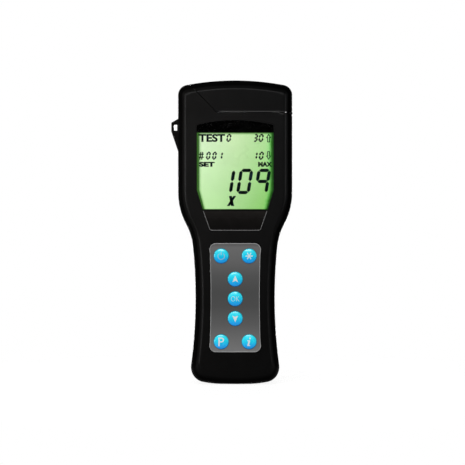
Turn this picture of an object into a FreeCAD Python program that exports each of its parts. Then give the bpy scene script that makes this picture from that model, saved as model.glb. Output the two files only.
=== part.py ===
import FreeCAD, Part
import math
import os

# Handheld luminometer: reads the glow of a swab device in a dark well under a flip lid
# Millimetres. X runs to the user's right, the front face looks along -Y and +Z runs up
# the length. The origin is the middle of the flat foot, in the parting plane of the case.

V = FreeCAD.Vector

# Driving sizes of the case
length = 191.0
head_half = 36.0
waist_half = 25.0
waist_z = 53.7
shoulder_z = 120.3
front_depth = 15.0
rear_depth = 16.6
wall = 2.1
foot_half = 13.9

# Radii of the outline, seen from the front
crown_r = 165.0
top_corner_r = 6.5
shoulder_r = 42.0
hollow_r = 38.0
grip_r = 320.0
foot_corner_r = 9.4
foot_crown_r = 120.0
least_corner_r = 1.2
boundary = 200.0
past = 1.0

# How far the front face's edge lies inside the silhouette, and the edges' roundings
side_lean = 4.7
top_lean = 6.0
foot_lean = 8.8
foot_lean_power = 1.6
front_edge_r = 1.1
rear_edge_r = 5.5
inner_bevel = 0.6
outer_strips = 5
inner_strips = 2

# Shadow line where the case halves meet
reveal_wide = 0.3
reveal_deep = 0.3

# Lid seam: level from the right side, then a slant up to the left
seam_below_top = 21.0
seam_bend_x = -11.6
seam_slant = math.radians(46.0)
seam_bend_r = 3.0
seam_gap = 0.5
deck_thick = 2.0
lid_wall = 1.9
liner_thick = 1.4
hood_wall = 1.1
hood_below_crown = 2.4
lid_seal_deep = 0.7
lid_seal_wide = 1.8
lid_swing = 95.0

# Hinge of the lid, on the right side at the seam
barrel_r = 1.55
hinge_pin_r = 0.75
hinge_web = 1.6
barrel_front_y = -6.5
barrel_rear_y = 12.6
barrel_split = (-3.5, 8.8)
notch_reach = 8.0
notch_spare = 1.5
pin_end = 0.2
pin_chamfer = 0.15

# Sample well: a blind tube nearly as long as the case
well_bore_r = 6.4
well_wall = 0.9
well_x = 15.2
well_y = 5.0
well_floor_z = 8.0
well_floor = 1.6
well_flange_r = 9.2
well_flange = 0.9
well_view_z = 24.0
well_view_r = 2.6
collar_wall = 1.4
collar_long = 8.5
collar_sink = 0.5
saddle_shares = (0.22, 0.54, 0.83)
saddle_thick = 1.6
saddle_hold = 2.5
saddle_cheek = 0.6
buffer_inset = 1.5

# Display window and the plate below it
window_half = 24.0
window_low_half = 20.15
window_below_seam = 4.95
window_arch = 3.0
window_taper_z = 121.7
window_low_z = 109.0
window_corner_r = 1.2
lens_thick = 1.2
lens_sunk = 0.15
sight_half = 23.1
sight_low_half = 19.75
sight_below_window = 7.2
sight_above_window_low = 0.6
plate_below_window = 0.5
plate_high = 12.4
plate_low_half = 15.9
plate_corner_r = 2.0
plate_thick = 0.6
plate_proud = 0.1

# Keypad panel and keys
panel_below_plate = 7.7
panel_low_z = 20.4
panel_half = 16.1
panel_waist_half = 15.3
panel_corner_r = 2.6
panel_thick = 0.75
panel_proud = 0.15
key_r = 4.65
key_gap = 0.15
key_rise = 0.85
key_bevel = 0.3
key_crown_r = 15.0
key_flange_r = 5.4
key_flange = 0.8
key_stem_r = 1.6
key_travel = 0.35
pair_x = 8.7
key_places = {
    "key_power": (-pair_x, 80.4),
    "key_star": (pair_x, 80.4),
    "key_up": (0.0, 66.0),
    "key_ok": (0.0, 53.7),
    "key_down": (0.0, 41.4),
    "key_program": (-pair_x, 26.9),
    "key_info": (pair_x, 26.9),
}

# Main board, display stack and the pieces on the board
board_y = -9.0
board_thick = 1.2
board_head_half = 25.4
board_grip_half = 20.1
board_below_seam = 6.25
board_low_z = 17.0
board_step_z = 100.0
dome_r = 3.6
dome_top_r = 1.9
dome_rise = 0.4
glass_half = 25.0
glass_low_z = 107.4
glass_below_board = 1.0
glass_thick = 1.9
backlight_thick = 1.5
frame_rim = 0.6
frame_sheet = 0.35
frame_lip = 1.4
strip_high = 2.0
strip_gap = 0.3
diode_r = 4.1
diode_tall = 3.4
diode_rim = 0.4
diode_foot = 0.5
diode_glass_r = 3.2
diode_glass_deep = 0.3
can_half = 7.0
can_above = 5.5
can_tall = 4.6
can_wall = 0.3
can_hole_r = 3.0
seal_ring_r = 4.2
seal_ring_hole_r = 2.8
seal_ring_long = 4.1
main_chip = (10.0, 10.0, 1.2)
main_chip_place = (-2.0, 123.0)
amplifier_chip = (6.0, 5.0, 1.5)
amplifier_place = (-15.0, 122.5)
display_chip = (5.0, 12.0, 1.6)
display_chip_x = -3.5
connector = (12.0, 4.0, 3.4)
connector_place = (-8.0, 92.0)
capacitor_r = 3.1
capacitor_tall = 6.0
capacitor_x = -21.0
low_capacitor_z = 112.0
parts_below_board_top = 24.6
buzzer_r = 6.2
buzzer_tall = 3.0
buzzer_place = (-10.0, 108.5)
buzzer_hole_r = 1.0
buzzer_hole_deep = 1.0

# Battery bay
cell_r = 7.1
cell_long = 50.0
cell_nub = 1.0
cell_nub_r = 2.6
cell_bevel = 0.4
cell_space = 0.2
cradle_wall = 0.8
cradle_low_z = 28.6
cradle_below_door = 0.2
cradle_front_r = 4.0
contact_space = 1.6
contact_thick = 0.4
contact_half = 4.5
bump_foot_r = 3.0
bump_tip_r = 1.6
door_low_z = 24.0
door_above_cradle = 1.0
door_edge_gap = 0.2
door_thick = 1.7
tongue_wide = 5.0
tongue_thick = 1.2
tongue_long = 2.2
tongue_root = 2.4
tongue_shares = (0.25, 0.75)
scoop_r = 9.0
scoop_deep = 1.2
scoop_long = 5.0
grip_ribs = 4
grip_rib_wide = 10.0
grip_rib_high = 0.9
grip_rib_step = 2.2
grip_rib_deep = 0.5
grip_below_door_top = 4.0
pad_side = 3.0
pad_start = 15.0
pad_long = 20.0

# Screws and their bosses
side_screw_x = 28.6
upper_screw_below_seam = 12.85
middle_screw_z = 127.0
foot_screw_z = 11.5
board_screw_x = 18.2
board_screw_heights = (95.0, 32.5, 20.0)
boss_r = 2.7
boss_root = 0.3
screw_r = 1.25
screw_head_r = 2.3
screw_head = 1.6
screw_reach = 7.0
counterbore_r = 2.6
counterbore_deep = 3.0
board_boss_r = 2.1
board_screw_r = 0.9
board_screw_head_r = 1.9
board_screw_head = 1.1
board_screw_reach = 3.0

# Strap lug on the left side
lug_out = 4.3
lug_below_seam = 2.8
lug_slope = 2.8
lug_bend = 8.4
lug_long = 22.8
lug_front_y = 0.4
lug_rear_y = 5.4
lug_root = 0.6
lug_corner_r = 0.9
lug_slot = (2.1, 3.7)
lug_slot_below = 6.0
lug_rim = 1.6

# Seal between the case halves, and the magnets that hold the lid down
seal_inset = 0.7
seal_wide = 0.8
seal_half_deep = 0.5
magnet_r = 2.0
magnet_long = 2.0
magnet_x = -6.5
magnet_y = 1.0
magnet_rim = 0.9
magnet_skin = 0.5

# Clearances
fit_gap = 0.1
run_gap = 0.3
pin_gap = 0.05

# Worked out from the sizes above
seam_z = length - seam_below_top
window_top_z = seam_z - window_below_seam
window_side_top_z = window_top_z - window_arch
sight_top_z = window_top_z - sight_below_window
sight_low_z = window_low_z + sight_above_window_low
plate_top_z = window_low_z - plate_below_window
plate_low_z = plate_top_z - plate_high
panel_top_z = plate_low_z - panel_below_plate
board_top_z = seam_z - board_below_seam
glass_top_z = board_top_z - glass_below_board
lug_top_z = seam_z - lug_below_seam
upper_screw_z = seam_z - upper_screw_below_seam
case_screw_places = [(x, z) for x in (side_screw_x, -side_screw_x) for z in (upper_screw_z, middle_screw_z)]
case_screw_places.append((0.0, foot_screw_z))
board_screw_places = [
    (board_screw_x, board_screw_heights[0]),
    (-board_screw_x, board_screw_heights[0]),
    (board_screw_x, board_screw_heights[1]),
    (-board_screw_x, board_screw_heights[2]),
]
panel_y = -front_depth - panel_proud
face_inner_y = -front_depth + wall
rear_inner_y = rear_depth - wall
board_rear_y = board_y + board_thick
well_outer_r = well_bore_r + well_wall
deck_top_z = seam_z - seam_gap / 2
lid_low_z = seam_z + seam_gap / 2
hinge_x = head_half - barrel_r - pin_gap
foot_drop = foot_crown_r - math.sqrt(foot_crown_r ** 2 - foot_half ** 2)
flank_r = (front_depth ** 2 + side_lean ** 2) / (2 * side_lean)
right_cell_x = well_x - well_outer_r - fit_gap - cradle_wall - cell_space - cell_r
left_cell_x = right_cell_x - 2 * cell_r - cell_space
cradle_left_x = left_cell_x - cell_r - cell_space - cradle_wall
cradle_right_x = right_cell_x + cell_r + cell_space + cradle_wall
cell_low_z = cradle_low_z + cradle_wall + contact_space
cradle_top_z = cell_low_z + cell_long + cell_nub + contact_space + cradle_wall
cradle_front_y = well_y - cell_r - cell_space - cradle_wall
door_top_z = cradle_top_z + door_above_cradle
door_left_x = cradle_left_x - fit_gap
door_right_x = cradle_right_x + fit_gap


# Small solids

def block(x0, x1, y0, y1, z0, z1):
    return Part.makeBox(x1 - x0, y1 - y0, z1 - z0, V(x0, y0, z0))


def rod(radius, start, direction, long):
    return Part.makeCylinder(radius, long, V(*start), V(*direction))


def rod_y(radius, x, z, y0, y1):
    return rod(radius, (x, y0, z), (0, 1, 0), y1 - y0)


def rod_z(radius, x, y, z0, z1):
    return rod(radius, (x, y, z0), (0, 0, 1), z1 - z0)


def fuse_all(shapes):
    whole = shapes[0]
    for shape in shapes[1:]:
        whole = whole.fuse(shape)
    return whole.removeSplitter()


def cut_all(shape, tools):
    for tool in tools:
        shape = shape.cut(tool)
    return shape


# Takes off what lies below the flat foot
def stand_flat(shape):
    return shape.cut(block(-boundary, boundary, -boundary, boundary, -boundary, 0))


# A prism along Y whose front view is the polygon of points (x, z), corners rounded if asked
def prism(points, y0, y1, corner_r=0.0):
    corners = [V(x, y0, z) for x, z in points]
    face = Part.Face(Part.makePolygon(corners + corners[:1]))
    solid = face.extrude(V(0, y1 - y0, 0))
    if corner_r > 0:
        along = [edge for edge in solid.Edges if abs(edge.tangentAt(edge.FirstParameter).y) > 0.99]
        solid = solid.makeFillet(corner_r, along)
    return solid


# Where two circles meet, on the left of the line from the first centre to the second
def meet(c1, r1, c2, r2):
    dx = c2[0] - c1[0]
    dz = c2[1] - c1[1]
    apart = math.hypot(dx, dz)
    along = (r1 ** 2 - r2 ** 2 + apart ** 2) / (2 * apart)
    off = math.sqrt(r1 ** 2 - along ** 2)
    return (c1[0] + (along * dx + off * dz) / apart, c1[1] + (along * dz - off * dx) / apart)


def toward(start, target, reach):
    far = math.hypot(target[0] - start[0], target[1] - start[1])
    return (
        start[0] + (target[0] - start[0]) * reach / far,
        start[1] + (target[1] - start[1]) * reach / far,
    )


def arc(centre, radius, start, end, y):
    middle = ((start[0] + end[0]) / 2, (start[1] + end[1]) / 2)
    middle = toward(centre, middle, radius)
    return Part.Arc(V(start[0], y, start[1]), V(middle[0], y, middle[1]), V(end[0], y, end[1])).toShape()


def line(start, end, y):
    return Part.makeLine(V(start[0], y, start[1]), V(end[0], y, end[1]))


# The silhouette of the case at depth y, drawn in by side, top and foot: tangent arcs all round
def outline(y, side=0.0, top=0.0, foot=0.0):
    top_r = crown_r - top
    top_c = (0.0, length - crown_r)
    corner_r = max(top_corner_r - side, least_corner_r)
    corner_x = head_half - side - corner_r
    corner_c = (corner_x, top_c[1] + math.sqrt((top_r - corner_r) ** 2 - corner_x ** 2))
    shoulder_c = (head_half - shoulder_r, shoulder_z)
    grip_c = (waist_half + grip_r, waist_z)
    hollow_c = meet(shoulder_c, shoulder_r + hollow_r, grip_c, grip_r - hollow_r)
    foot_r = foot_crown_r - foot
    foot_c = (0.0, foot_crown_r - foot_drop)
    heel_r = max(foot_corner_r - side, least_corner_r)
    heel_c = meet(foot_c, foot_r - heel_r, grip_c, grip_r + side + heel_r)
    crown_end = toward(top_c, corner_c, top_r)
    side_top = (head_half - side, corner_c[1])
    side_low = (head_half - side, shoulder_z)
    shoulder_end = toward(shoulder_c, hollow_c, shoulder_r - side)
    hollow_end = toward(grip_c, hollow_c, grip_r + side)
    grip_end = toward(grip_c, heel_c, grip_r + side)
    heel_end = toward(foot_c, heel_c, foot_r)
    pieces = [
        ("arc", corner_c, corner_r, crown_end, side_top),
        ("line", side_top, side_low),
        ("arc", shoulder_c, shoulder_r - side, side_low, shoulder_end),
        ("arc", hollow_c, hollow_r + side, shoulder_end, hollow_end),
        ("arc", grip_c, grip_r + side, hollow_end, grip_end),
        ("arc", heel_c, heel_r, grip_end, heel_end),
    ]

    def flip(point):
        return (-point[0], point[1])

    edges = []
    for piece in pieces:
        if piece[0] == "arc":
            edges.append(arc(*piece[1:], y))
        else:
            edges.append(line(*piece[1:], y))
    edges.append(arc(foot_c, foot_r, heel_end, flip(heel_end), y))
    for piece in reversed(pieces):
        if piece[0] == "arc":
            edges.append(arc(flip(piece[1]), piece[2], flip(piece[4]), flip(piece[3]), y))
        else:
            edges.append(line(flip(piece[2]), flip(piece[1]), y))
    edges.append(arc(top_c, top_r, flip(crown_end), crown_end, y))
    return Part.Wire(edges)


# The front half leans in towards the face along one arc, seen in section, in even strips
def front_body(drawn_in, strips):
    face_y = drawn_in - front_depth
    sections = []
    for strip in range(strips + 1):
        share = strip / strips
        lean = (flank_r - math.sqrt(flank_r ** 2 - (front_depth * share) ** 2)) / side_lean
        side = side_lean * lean + drawn_in
        top = top_lean * lean + drawn_in
        foot = foot_lean * lean ** foot_lean_power + drawn_in
        sections.append(outline(face_y * share, side, top, foot))
    return Part.makeLoft(sections, True, True)


# The rear half is straight
def rear_body(drawn_in):
    face = Part.Face(outline(0.0, drawn_in, drawn_in, drawn_in))
    return face.extrude(V(0, rear_depth - drawn_in, 0))


def edges_along_y(solid):
    return [edge for edge in solid.Edges if abs(edge.tangentAt(edge.FirstParameter).y) > 0.99]


def end_edges(solid, y):
    return [edge for edge in solid.Edges if abs(edge.BoundBox.YMin - y) + abs(edge.BoundBox.YMax - y) < 0.02]


# The outside has rounded edges, and the hollow inside it has a plain front edge and a bevel behind
def front_outside():
    solid = front_body(0.0, outer_strips)
    return solid.makeFillet(front_edge_r, end_edges(solid, -front_depth))


def rear_outside():
    solid = rear_body(0.0)
    return solid.makeFillet(rear_edge_r, end_edges(solid, rear_depth))


def rear_inside(drawn_in):
    solid = rear_body(drawn_in)
    bevel = (rear_edge_r - drawn_in) * inner_bevel
    return solid.makeChamfer(bevel, end_edges(solid, rear_depth - drawn_in))


def inside_body(drawn_in):
    return front_body(drawn_in, inner_strips).fuse(rear_inside(drawn_in))


# Everything above the seam, moved up from it by rise and bounded far outside the case
def above_seam(rise):
    far = boundary
    bend_c = (seam_bend_x + seam_bend_r * math.tan(seam_slant / 2), seam_z + seam_bend_r)
    reach = seam_bend_r - rise
    level_end = (bend_c[0], seam_z + rise)
    slant_start = (bend_c[0] - reach * math.sin(seam_slant), bend_c[1] - reach * math.cos(seam_slant))
    slant_far = (slant_start[0] - far * math.cos(seam_slant), slant_start[1] + far * math.sin(seam_slant))
    y = -far
    edges = [
        line((far, seam_z + rise), level_end, y),
        arc(bend_c, reach, level_end, slant_start, y),
        line(slant_start, slant_far, y),
        line(slant_far, (far, slant_far[1]), y),
        line((far, slant_far[1]), (far, seam_z + rise), y),
    ]
    return Part.Face(Part.Wire(edges)).extrude(V(0, 2 * far, 0))


# The notch beyond the hinge that lets the lid swing right over
def hinge_notch():
    half = math.radians(lid_swing / 2 + notch_spare)
    out_x = hinge_x + notch_reach * math.cos(half)
    rise = notch_reach * math.sin(half)
    corners = [(hinge_x, seam_z), (out_x, seam_z - rise), (out_x, seam_z + rise)]
    return prism(corners, -front_depth - past, rear_depth + past)


def hinge_rod(radius, y0, y1):
    return rod_y(radius, hinge_x, seam_z, y0, y1)


# Ring that follows the case in the parting plane, up to the deck
def parting_ring(spare):
    outer_inset = seal_inset - spare
    hole_inset = seal_inset + seal_wide + spare
    start_y = -seal_half_deep - spare
    ring = Part.Face(outline(start_y, outer_inset, outer_inset, outer_inset))
    hole = Part.Face(outline(start_y, hole_inset, hole_inset, hole_inset))
    deep = V(0, 2 * (seal_half_deep + spare), 0)
    ring = ring.extrude(deep).cut(hole.extrude(deep))
    return ring.cut(above_seam(-seam_gap / 2 - deck_thick + spare))


# Step round the front half's rear edge, open to the outside
def reveal_ring():
    whole = Part.Face(outline(-reveal_wide, -past, -past, -past))
    kept = Part.Face(outline(-reveal_wide, reveal_deep, reveal_deep, reveal_deep))
    deep = V(0, reveal_wide + past, 0)
    return whole.extrude(deep).cut(kept.extrude(deep))


# Flat shapes cut into or laid on the front face
def window_shape(grow, y0, y1):
    half = window_half + grow
    low_half = window_low_half + grow
    low_z = window_low_z - grow
    side_z = window_side_top_z + grow
    top_z = window_top_z + grow
    edges = [
        line((half, side_z), (half, window_taper_z), y0),
        line((half, window_taper_z), (low_half, low_z), y0),
        line((low_half, low_z), (-low_half, low_z), y0),
        line((-low_half, low_z), (-half, window_taper_z), y0),
        line((-half, window_taper_z), (-half, side_z), y0),
        Part.Arc(V(-half, y0, side_z), V(0, y0, top_z), V(half, y0, side_z)).toShape(),
    ]
    solid = Part.Face(Part.Wire(edges)).extrude(V(0, y1 - y0, 0))
    corners = [edge for edge in edges_along_y(solid) if abs(edge.BoundBox.ZMin - window_taper_z) > past]
    return solid.makeFillet(window_corner_r + grow, corners)


def sight_opening(y0, y1):
    corners = [
        (sight_half, sight_top_z),
        (sight_half, window_taper_z),
        (sight_low_half, sight_low_z),
        (-sight_low_half, sight_low_z),
        (-sight_half, window_taper_z),
        (-sight_half, sight_top_z),
    ]
    return prism(corners, y0, y1)


def plate_shape(grow, y0, y1):
    top_half = window_low_half + grow
    low_half = plate_low_half + grow
    top_z = plate_top_z + grow
    low_z = plate_low_z - grow
    solid = prism([(-top_half, top_z), (top_half, top_z), (low_half, low_z), (-low_half, low_z)], y0, y1)
    corners = [edge for edge in edges_along_y(solid) if edge.BoundBox.ZMin < low_z + past]
    return solid.makeFillet(plate_corner_r + grow, corners)


def panel_shape(grow, y0, y1):
    half = panel_half + grow
    waist = panel_waist_half + grow
    top_z = panel_top_z + grow
    low_z = panel_low_z - grow
    middle_z = (panel_top_z + panel_low_z) / 2
    edges = [
        line((-half, top_z), (half, top_z), y0),
        Part.Arc(V(half, y0, top_z), V(waist, y0, middle_z), V(half, y0, low_z)).toShape(),
        line((half, low_z), (-half, low_z), y0),
        Part.Arc(V(-half, y0, low_z), V(-waist, y0, middle_z), V(-half, y0, top_z)).toShape(),
    ]
    solid = Part.Face(Part.Wire(edges)).extrude(V(0, y1 - y0, 0))
    return solid.makeFillet(panel_corner_r + grow, edges_along_y(solid))


# Case, front half
def make_front_shell():
    shell = front_outside()
    shell = stand_flat(shell.cut(front_body(wall, inner_strips)))
    shell = shell.cut(above_seam(-seam_gap / 2))
    shell = shell.cut(hinge_notch())
    lens_back = -front_depth + lens_sunk + lens_thick
    outside_y = -front_depth - past
    cuts = [
        parting_ring(pin_gap),
        reveal_ring(),
        hinge_rod(barrel_r + run_gap, barrel_split[0], past),
        window_shape(fit_gap, outside_y, lens_back),
        sight_opening(outside_y, face_inner_y + past),
        plate_shape(fit_gap, outside_y, -front_depth - plate_proud + plate_thick),
        panel_shape(fit_gap, outside_y, panel_y + panel_thick),
    ]
    for x, z in key_places.values():
        cuts.append(rod_y(key_r + key_gap, x, z, outside_y, 0))
    shell = cut_all(shell, cuts)
    bosses = [hinge_rod(barrel_r, barrel_front_y, barrel_split[0] - fit_gap)]
    for x, z in case_screw_places:
        bosses.append(rod_y(boss_r, x, z, face_inner_y - boss_root, -fit_gap / 2))
    for x, z in board_screw_places:
        bosses.append(rod_y(board_boss_r, x, z, face_inner_y - boss_root, board_y))
    shell = fuse_all([shell] + bosses)
    holes = [hinge_rod(hinge_pin_r + pin_gap, barrel_front_y - past, 0)]
    for x, z in case_screw_places:
        holes.append(rod_y(screw_r, x, z, -screw_reach, past))
    for x, z in board_screw_places:
        holes.append(rod_y(board_screw_r, x, z, board_y - board_screw_reach, board_y + past))
    return cut_all(shell, holes)


# Case, rear half, with the battery opening, the screw bosses, the tube saddles and the strap lug
def make_rear_shell():
    shell = stand_flat(rear_outside().cut(rear_inside(wall)))
    shell = shell.cut(above_seam(-seam_gap / 2))
    shell = shell.cut(hinge_notch())
    shell = shell.cut(parting_ring(pin_gap))
    shell = shell.cut(hinge_rod(barrel_r + run_gap, -past, barrel_split[1]))
    shell = shell.cut(block(door_left_x, door_right_x, well_y, rear_depth + past, door_low_z, door_top_z))
    shell = shell.cut(finger_scoop())
    parts = [shell, hinge_rod(barrel_r, barrel_split[1] + fit_gap, barrel_rear_y), strap_lug()]
    for x, z in case_screw_places:
        parts.append(rod_y(boss_r, x, z, fit_gap / 2, rear_inner_y + boss_root))
    parts += tube_saddles()
    shell = fuse_all(parts)
    holes = [hinge_rod(hinge_pin_r + pin_gap, 0, barrel_rear_y + past)]
    for x, z in case_screw_places:
        holes.append(rod_y(screw_r + fit_gap, x, z, -past, rear_depth))
        holes.append(rod_y(counterbore_r, x, z, rear_depth - counterbore_deep, rear_depth + past))
    return cut_all(shell, holes)


# Room for a fingertip behind the upper edge of the battery door
def finger_scoop():
    middle_x = (door_left_x + door_right_x) / 2
    axis_y = rear_depth - scoop_deep + scoop_r
    return rod_z(scoop_r, middle_x, axis_y, door_top_z - past, door_top_z + scoop_long)


def strap_lug():
    root = lug_root - head_half
    out = -head_half - lug_out
    corners = [
        (root, lug_top_z),
        (out, lug_top_z - lug_slope),
        (out, lug_top_z - lug_bend),
        (root, lug_top_z - lug_long),
    ]
    lug = prism(corners, lug_front_y, lug_rear_y)
    outer = [edge for edge in lug.Edges if edge.BoundBox.XMax < out + 0.01 and edge.BoundBox.ZLength < 0.01]
    lug = lug.makeFillet(lug_corner_r, outer)
    slot_left = out + lug_rim
    slot_z = lug_top_z - lug_slot_below
    slot = block(slot_left, slot_left + lug_slot[0], lug_front_y - past, lug_rear_y + past,
                 slot_z - lug_slot[1] / 2, slot_z + lug_slot[1] / 2)
    return lug.cut(slot)


def tube_saddles():
    saddles = []
    half = well_outer_r - saddle_cheek
    tube = rod_z(well_outer_r + fit_gap, well_x, well_y, 0, deck_top_z)
    for share in saddle_shares:
        z = deck_top_z * share
        rib = block(well_x - half, well_x + half, well_y + saddle_hold, rear_inner_y + boss_root,
                    z, z + saddle_thick)
        saddles.append(rib.cut(tube))
    return saddles


def make_case_seal():
    return parting_ring(0.0)


# Deck: closes the case under the seam and carries the mouth of the well
def make_deck():
    inside = inside_body(wall + fit_gap)
    band = above_seam(-seam_gap / 2 - deck_thick).cut(above_seam(-seam_gap / 2))
    deck = inside.common(band)
    deck = deck.cut(hinge_rod(barrel_r + run_gap, -front_depth, rear_depth))
    collar_top = deck_top_z - collar_sink
    collar = rod_z(well_outer_r + collar_wall, well_x, well_y, collar_top - collar_long, collar_top)
    boss_low = deck_top_z - magnet_skin - magnet_long - magnet_rim
    boss = rod_z(magnet_r + magnet_rim, magnet_x, magnet_y, boss_low, collar_top)
    deck = fuse_all([deck, collar.common(inside), boss])
    deck = deck.cut(magnet_slug(deck_top_z - magnet_skin - magnet_long, pin_gap))
    top = deck_top_z + past
    deck = deck.cut(rod_z(well_outer_r + pin_gap, well_x, well_y, 0, top))
    return deck.cut(rod_z(well_flange_r + pin_gap, well_x, well_y, deck_top_z - well_flange, top))


# The magnets face each other through a thin skin of the deck and of the liner
def magnet_slug(low_z, spare):
    return rod_z(magnet_r + spare, magnet_x, magnet_y, low_z - spare, low_z + magnet_long + spare)


def make_deck_magnet():
    return magnet_slug(deck_top_z - magnet_skin - magnet_long, 0.0)


def make_well_tube():
    tube = rod_z(well_outer_r, well_x, well_y, well_floor_z - well_floor, deck_top_z)
    flange = rod_z(well_flange_r, well_x, well_y, deck_top_z - well_flange, deck_top_z)
    tube = fuse_all([tube, flange])
    tube = tube.cut(rod_z(well_bore_r, well_x, well_y, well_floor_z, deck_top_z + past))
    return tube.cut(rod_y(well_view_r, well_x, well_view_z, well_y - well_outer_r - past, well_y))


# Rubber buffer that carries the foot of the tube
def make_well_buffer():
    buffer = rod_z(well_outer_r - buffer_inset, well_x, well_y, 0, well_floor_z - well_floor)
    return buffer.common(inside_body(wall + pin_gap))


# Lid
def make_lid_cover():
    cover = front_outside().fuse(rear_outside()).common(above_seam(seam_gap / 2))
    cover = cover.cut(inside_body(lid_wall))
    cover = cover.cut(hinge_notch())
    cover = cover.cut(hinge_rod(barrel_r + run_gap, -front_depth - past, barrel_split[0]))
    cover = cover.cut(hinge_rod(barrel_r + run_gap, barrel_split[1], rear_depth + past))
    knuckle = hinge_rod(barrel_r, barrel_split[0] + fit_gap, barrel_split[1] - fit_gap)
    web = block(hinge_x - barrel_r, hinge_x + barrel_r / 2, barrel_split[0] + fit_gap,
                barrel_split[1] - fit_gap, seam_z, seam_z + barrel_r + hinge_web)
    cover = fuse_all([cover, knuckle, web])
    return cover.cut(hinge_rod(hinge_pin_r + pin_gap, -front_depth, rear_depth))


# Plate inside the lid, with the hood that the top of the swab device stands in
def make_lid_liner():
    inside = inside_body(lid_wall + fit_gap)
    band = above_seam(seam_gap / 2).cut(above_seam(seam_gap / 2 + liner_thick))
    liner = inside.common(band)
    liner = liner.cut(hinge_rod(barrel_r + hinge_web + run_gap, -front_depth, rear_depth))
    hood_top = length - lid_wall - hood_below_crown
    hood = rod_z(well_bore_r + hood_wall, well_x, well_y, lid_low_z, hood_top)
    magnet_top = lid_low_z + magnet_skin + magnet_long
    boss = rod_z(magnet_r + magnet_rim, magnet_x, magnet_y, lid_low_z, magnet_top + magnet_skin)
    liner = fuse_all([liner, hood, boss])
    liner = liner.cut(magnet_slug(lid_low_z + magnet_skin, pin_gap))
    liner = liner.cut(rod_z(well_bore_r, well_x, well_y, seam_z - past, hood_top - hood_wall))
    groove_top = lid_low_z + lid_seal_deep
    ring = rod_z(well_flange_r, well_x, well_y, seam_z, groove_top)
    ring = ring.cut(rod_z(well_flange_r - lid_seal_wide, well_x, well_y, seam_z - past, groove_top + past))
    return liner.cut(ring)


def make_lid_magnet():
    return magnet_slug(lid_low_z + magnet_skin, 0.0)


def make_lid_seal():
    top = lid_low_z + lid_seal_deep - pin_gap
    low = deck_top_z + fit_gap
    ring = rod_z(well_flange_r - pin_gap, well_x, well_y, low, top)
    return ring.cut(rod_z(well_flange_r - lid_seal_wide + pin_gap, well_x, well_y, low - past, top + past))


def make_hinge_pin():
    pin = hinge_rod(hinge_pin_r, barrel_front_y - pin_end, barrel_rear_y + pin_end)
    ends = [edge for edge in pin.Edges if edge.BoundBox.YLength < 0.01]
    return pin.makeChamfer(pin_chamfer, ends)


# Window, plate and panel on the front face
def make_window_lens():
    front = -front_depth + lens_sunk
    return window_shape(0.0, front, front + lens_thick)


def make_name_plate():
    front = -front_depth - plate_proud
    return plate_shape(0.0, front, front + plate_thick)


def make_keypad_panel():
    panel = panel_shape(0.0, panel_y, panel_y + panel_thick)
    return cut_all(panel, [rod_y(key_r + key_gap, x, z, panel_y - past, 0) for x, z in key_places.values()])


# A key has a crowned cap with a bevelled rim, a flange behind the wall and a stem to the dome
def make_key(x, z):
    top_y = panel_y - key_rise
    flange_y = face_inner_y + fit_gap
    stem_y = board_y - dome_rise - key_travel - fit_gap
    cap = rod_y(key_r, x, z, top_y, flange_y)
    cap = cap.common(Part.makeSphere(key_crown_r, V(x, top_y + key_crown_r, z)))
    rim = [edge for edge in cap.Edges if edge.BoundBox.YMax < panel_y and edge.BoundBox.XLength > key_r]
    cap = cap.makeChamfer(key_bevel, rim)
    flange = rod_y(key_flange_r, x, z, flange_y, flange_y + key_flange)
    stem = rod_y(key_stem_r, x, z, flange_y + key_flange, stem_y)
    return fuse_all([cap, flange, stem])


def make_key_domes():
    domes = []
    for x, z in key_places.values():
        domes.append(Part.makeCone(dome_r, dome_top_r, dome_rise, V(x, board_y, z), V(0, -1, 0)))
    return Part.makeCompound(domes)


# Board and display
def make_main_board():
    slope = board_head_half - board_grip_half
    outline_points = [
        (board_head_half, board_top_z),
        (board_head_half, board_step_z + slope),
        (board_grip_half, board_step_z),
        (board_grip_half, board_low_z),
        (-board_grip_half, board_low_z),
        (-board_grip_half, board_step_z),
        (-board_head_half, board_step_z + slope),
        (-board_head_half, board_top_z),
    ]
    board = prism(outline_points, board_y, board_rear_y)
    holes = [rod_y(board_screw_r + fit_gap, x, z, board_y - past, 0) for x, z in board_screw_places]
    return cut_all(board, holes)


def make_board_screws():
    screws = []
    for x, z in board_screw_places:
        head = rod_y(board_screw_head_r, x, z, board_rear_y, board_rear_y + board_screw_head)
        shank = rod_y(board_screw_r, x, z, board_y - board_screw_reach, board_rear_y)
        screws.append(fuse_all([head, shank]))
    return Part.makeCompound(screws)


def make_case_screws():
    screws = []
    seat_y = rear_depth - counterbore_deep
    for x, z in case_screw_places:
        head = rod_y(screw_head_r, x, z, seat_y, seat_y + screw_head)
        shank = rod_y(screw_r, x, z, -screw_reach, seat_y)
        screws.append(fuse_all([head, shank]))
    return Part.makeCompound(screws)


def display_block(inset, inset_z, y0, y1):
    half = glass_half - inset
    return block(-half, half, y0, y1, glass_low_z + inset_z, glass_top_z - inset_z)


def make_display_glass():
    front = board_y - backlight_thick - glass_thick
    return display_block(frame_rim, frame_rim, front, front + glass_thick)


def make_display_backlight():
    inset_z = frame_rim + strip_high + 2 * strip_gap
    return display_block(frame_rim, inset_z, board_y - backlight_thick, board_y)


# Conductive rubber strips between the display's edges and the board
def make_display_strips():
    front = board_y - backlight_thick
    outer = display_block(frame_rim + strip_gap, frame_rim + strip_gap, front, board_y)
    return outer.cut(display_block(0, frame_rim + strip_gap + strip_high, front - past, board_y + past))


# Thin metal frame that claws the display to the board
def make_display_frame():
    front = board_y - backlight_thick - glass_thick - frame_sheet
    inner = frame_rim - pin_gap
    frame = display_block(0, 0, front, board_y)
    frame = frame.cut(display_block(inner, inner, front + frame_sheet, board_y + past))
    return frame.cut(display_block(frame_lip, frame_lip, front - past, front + past))


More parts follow.
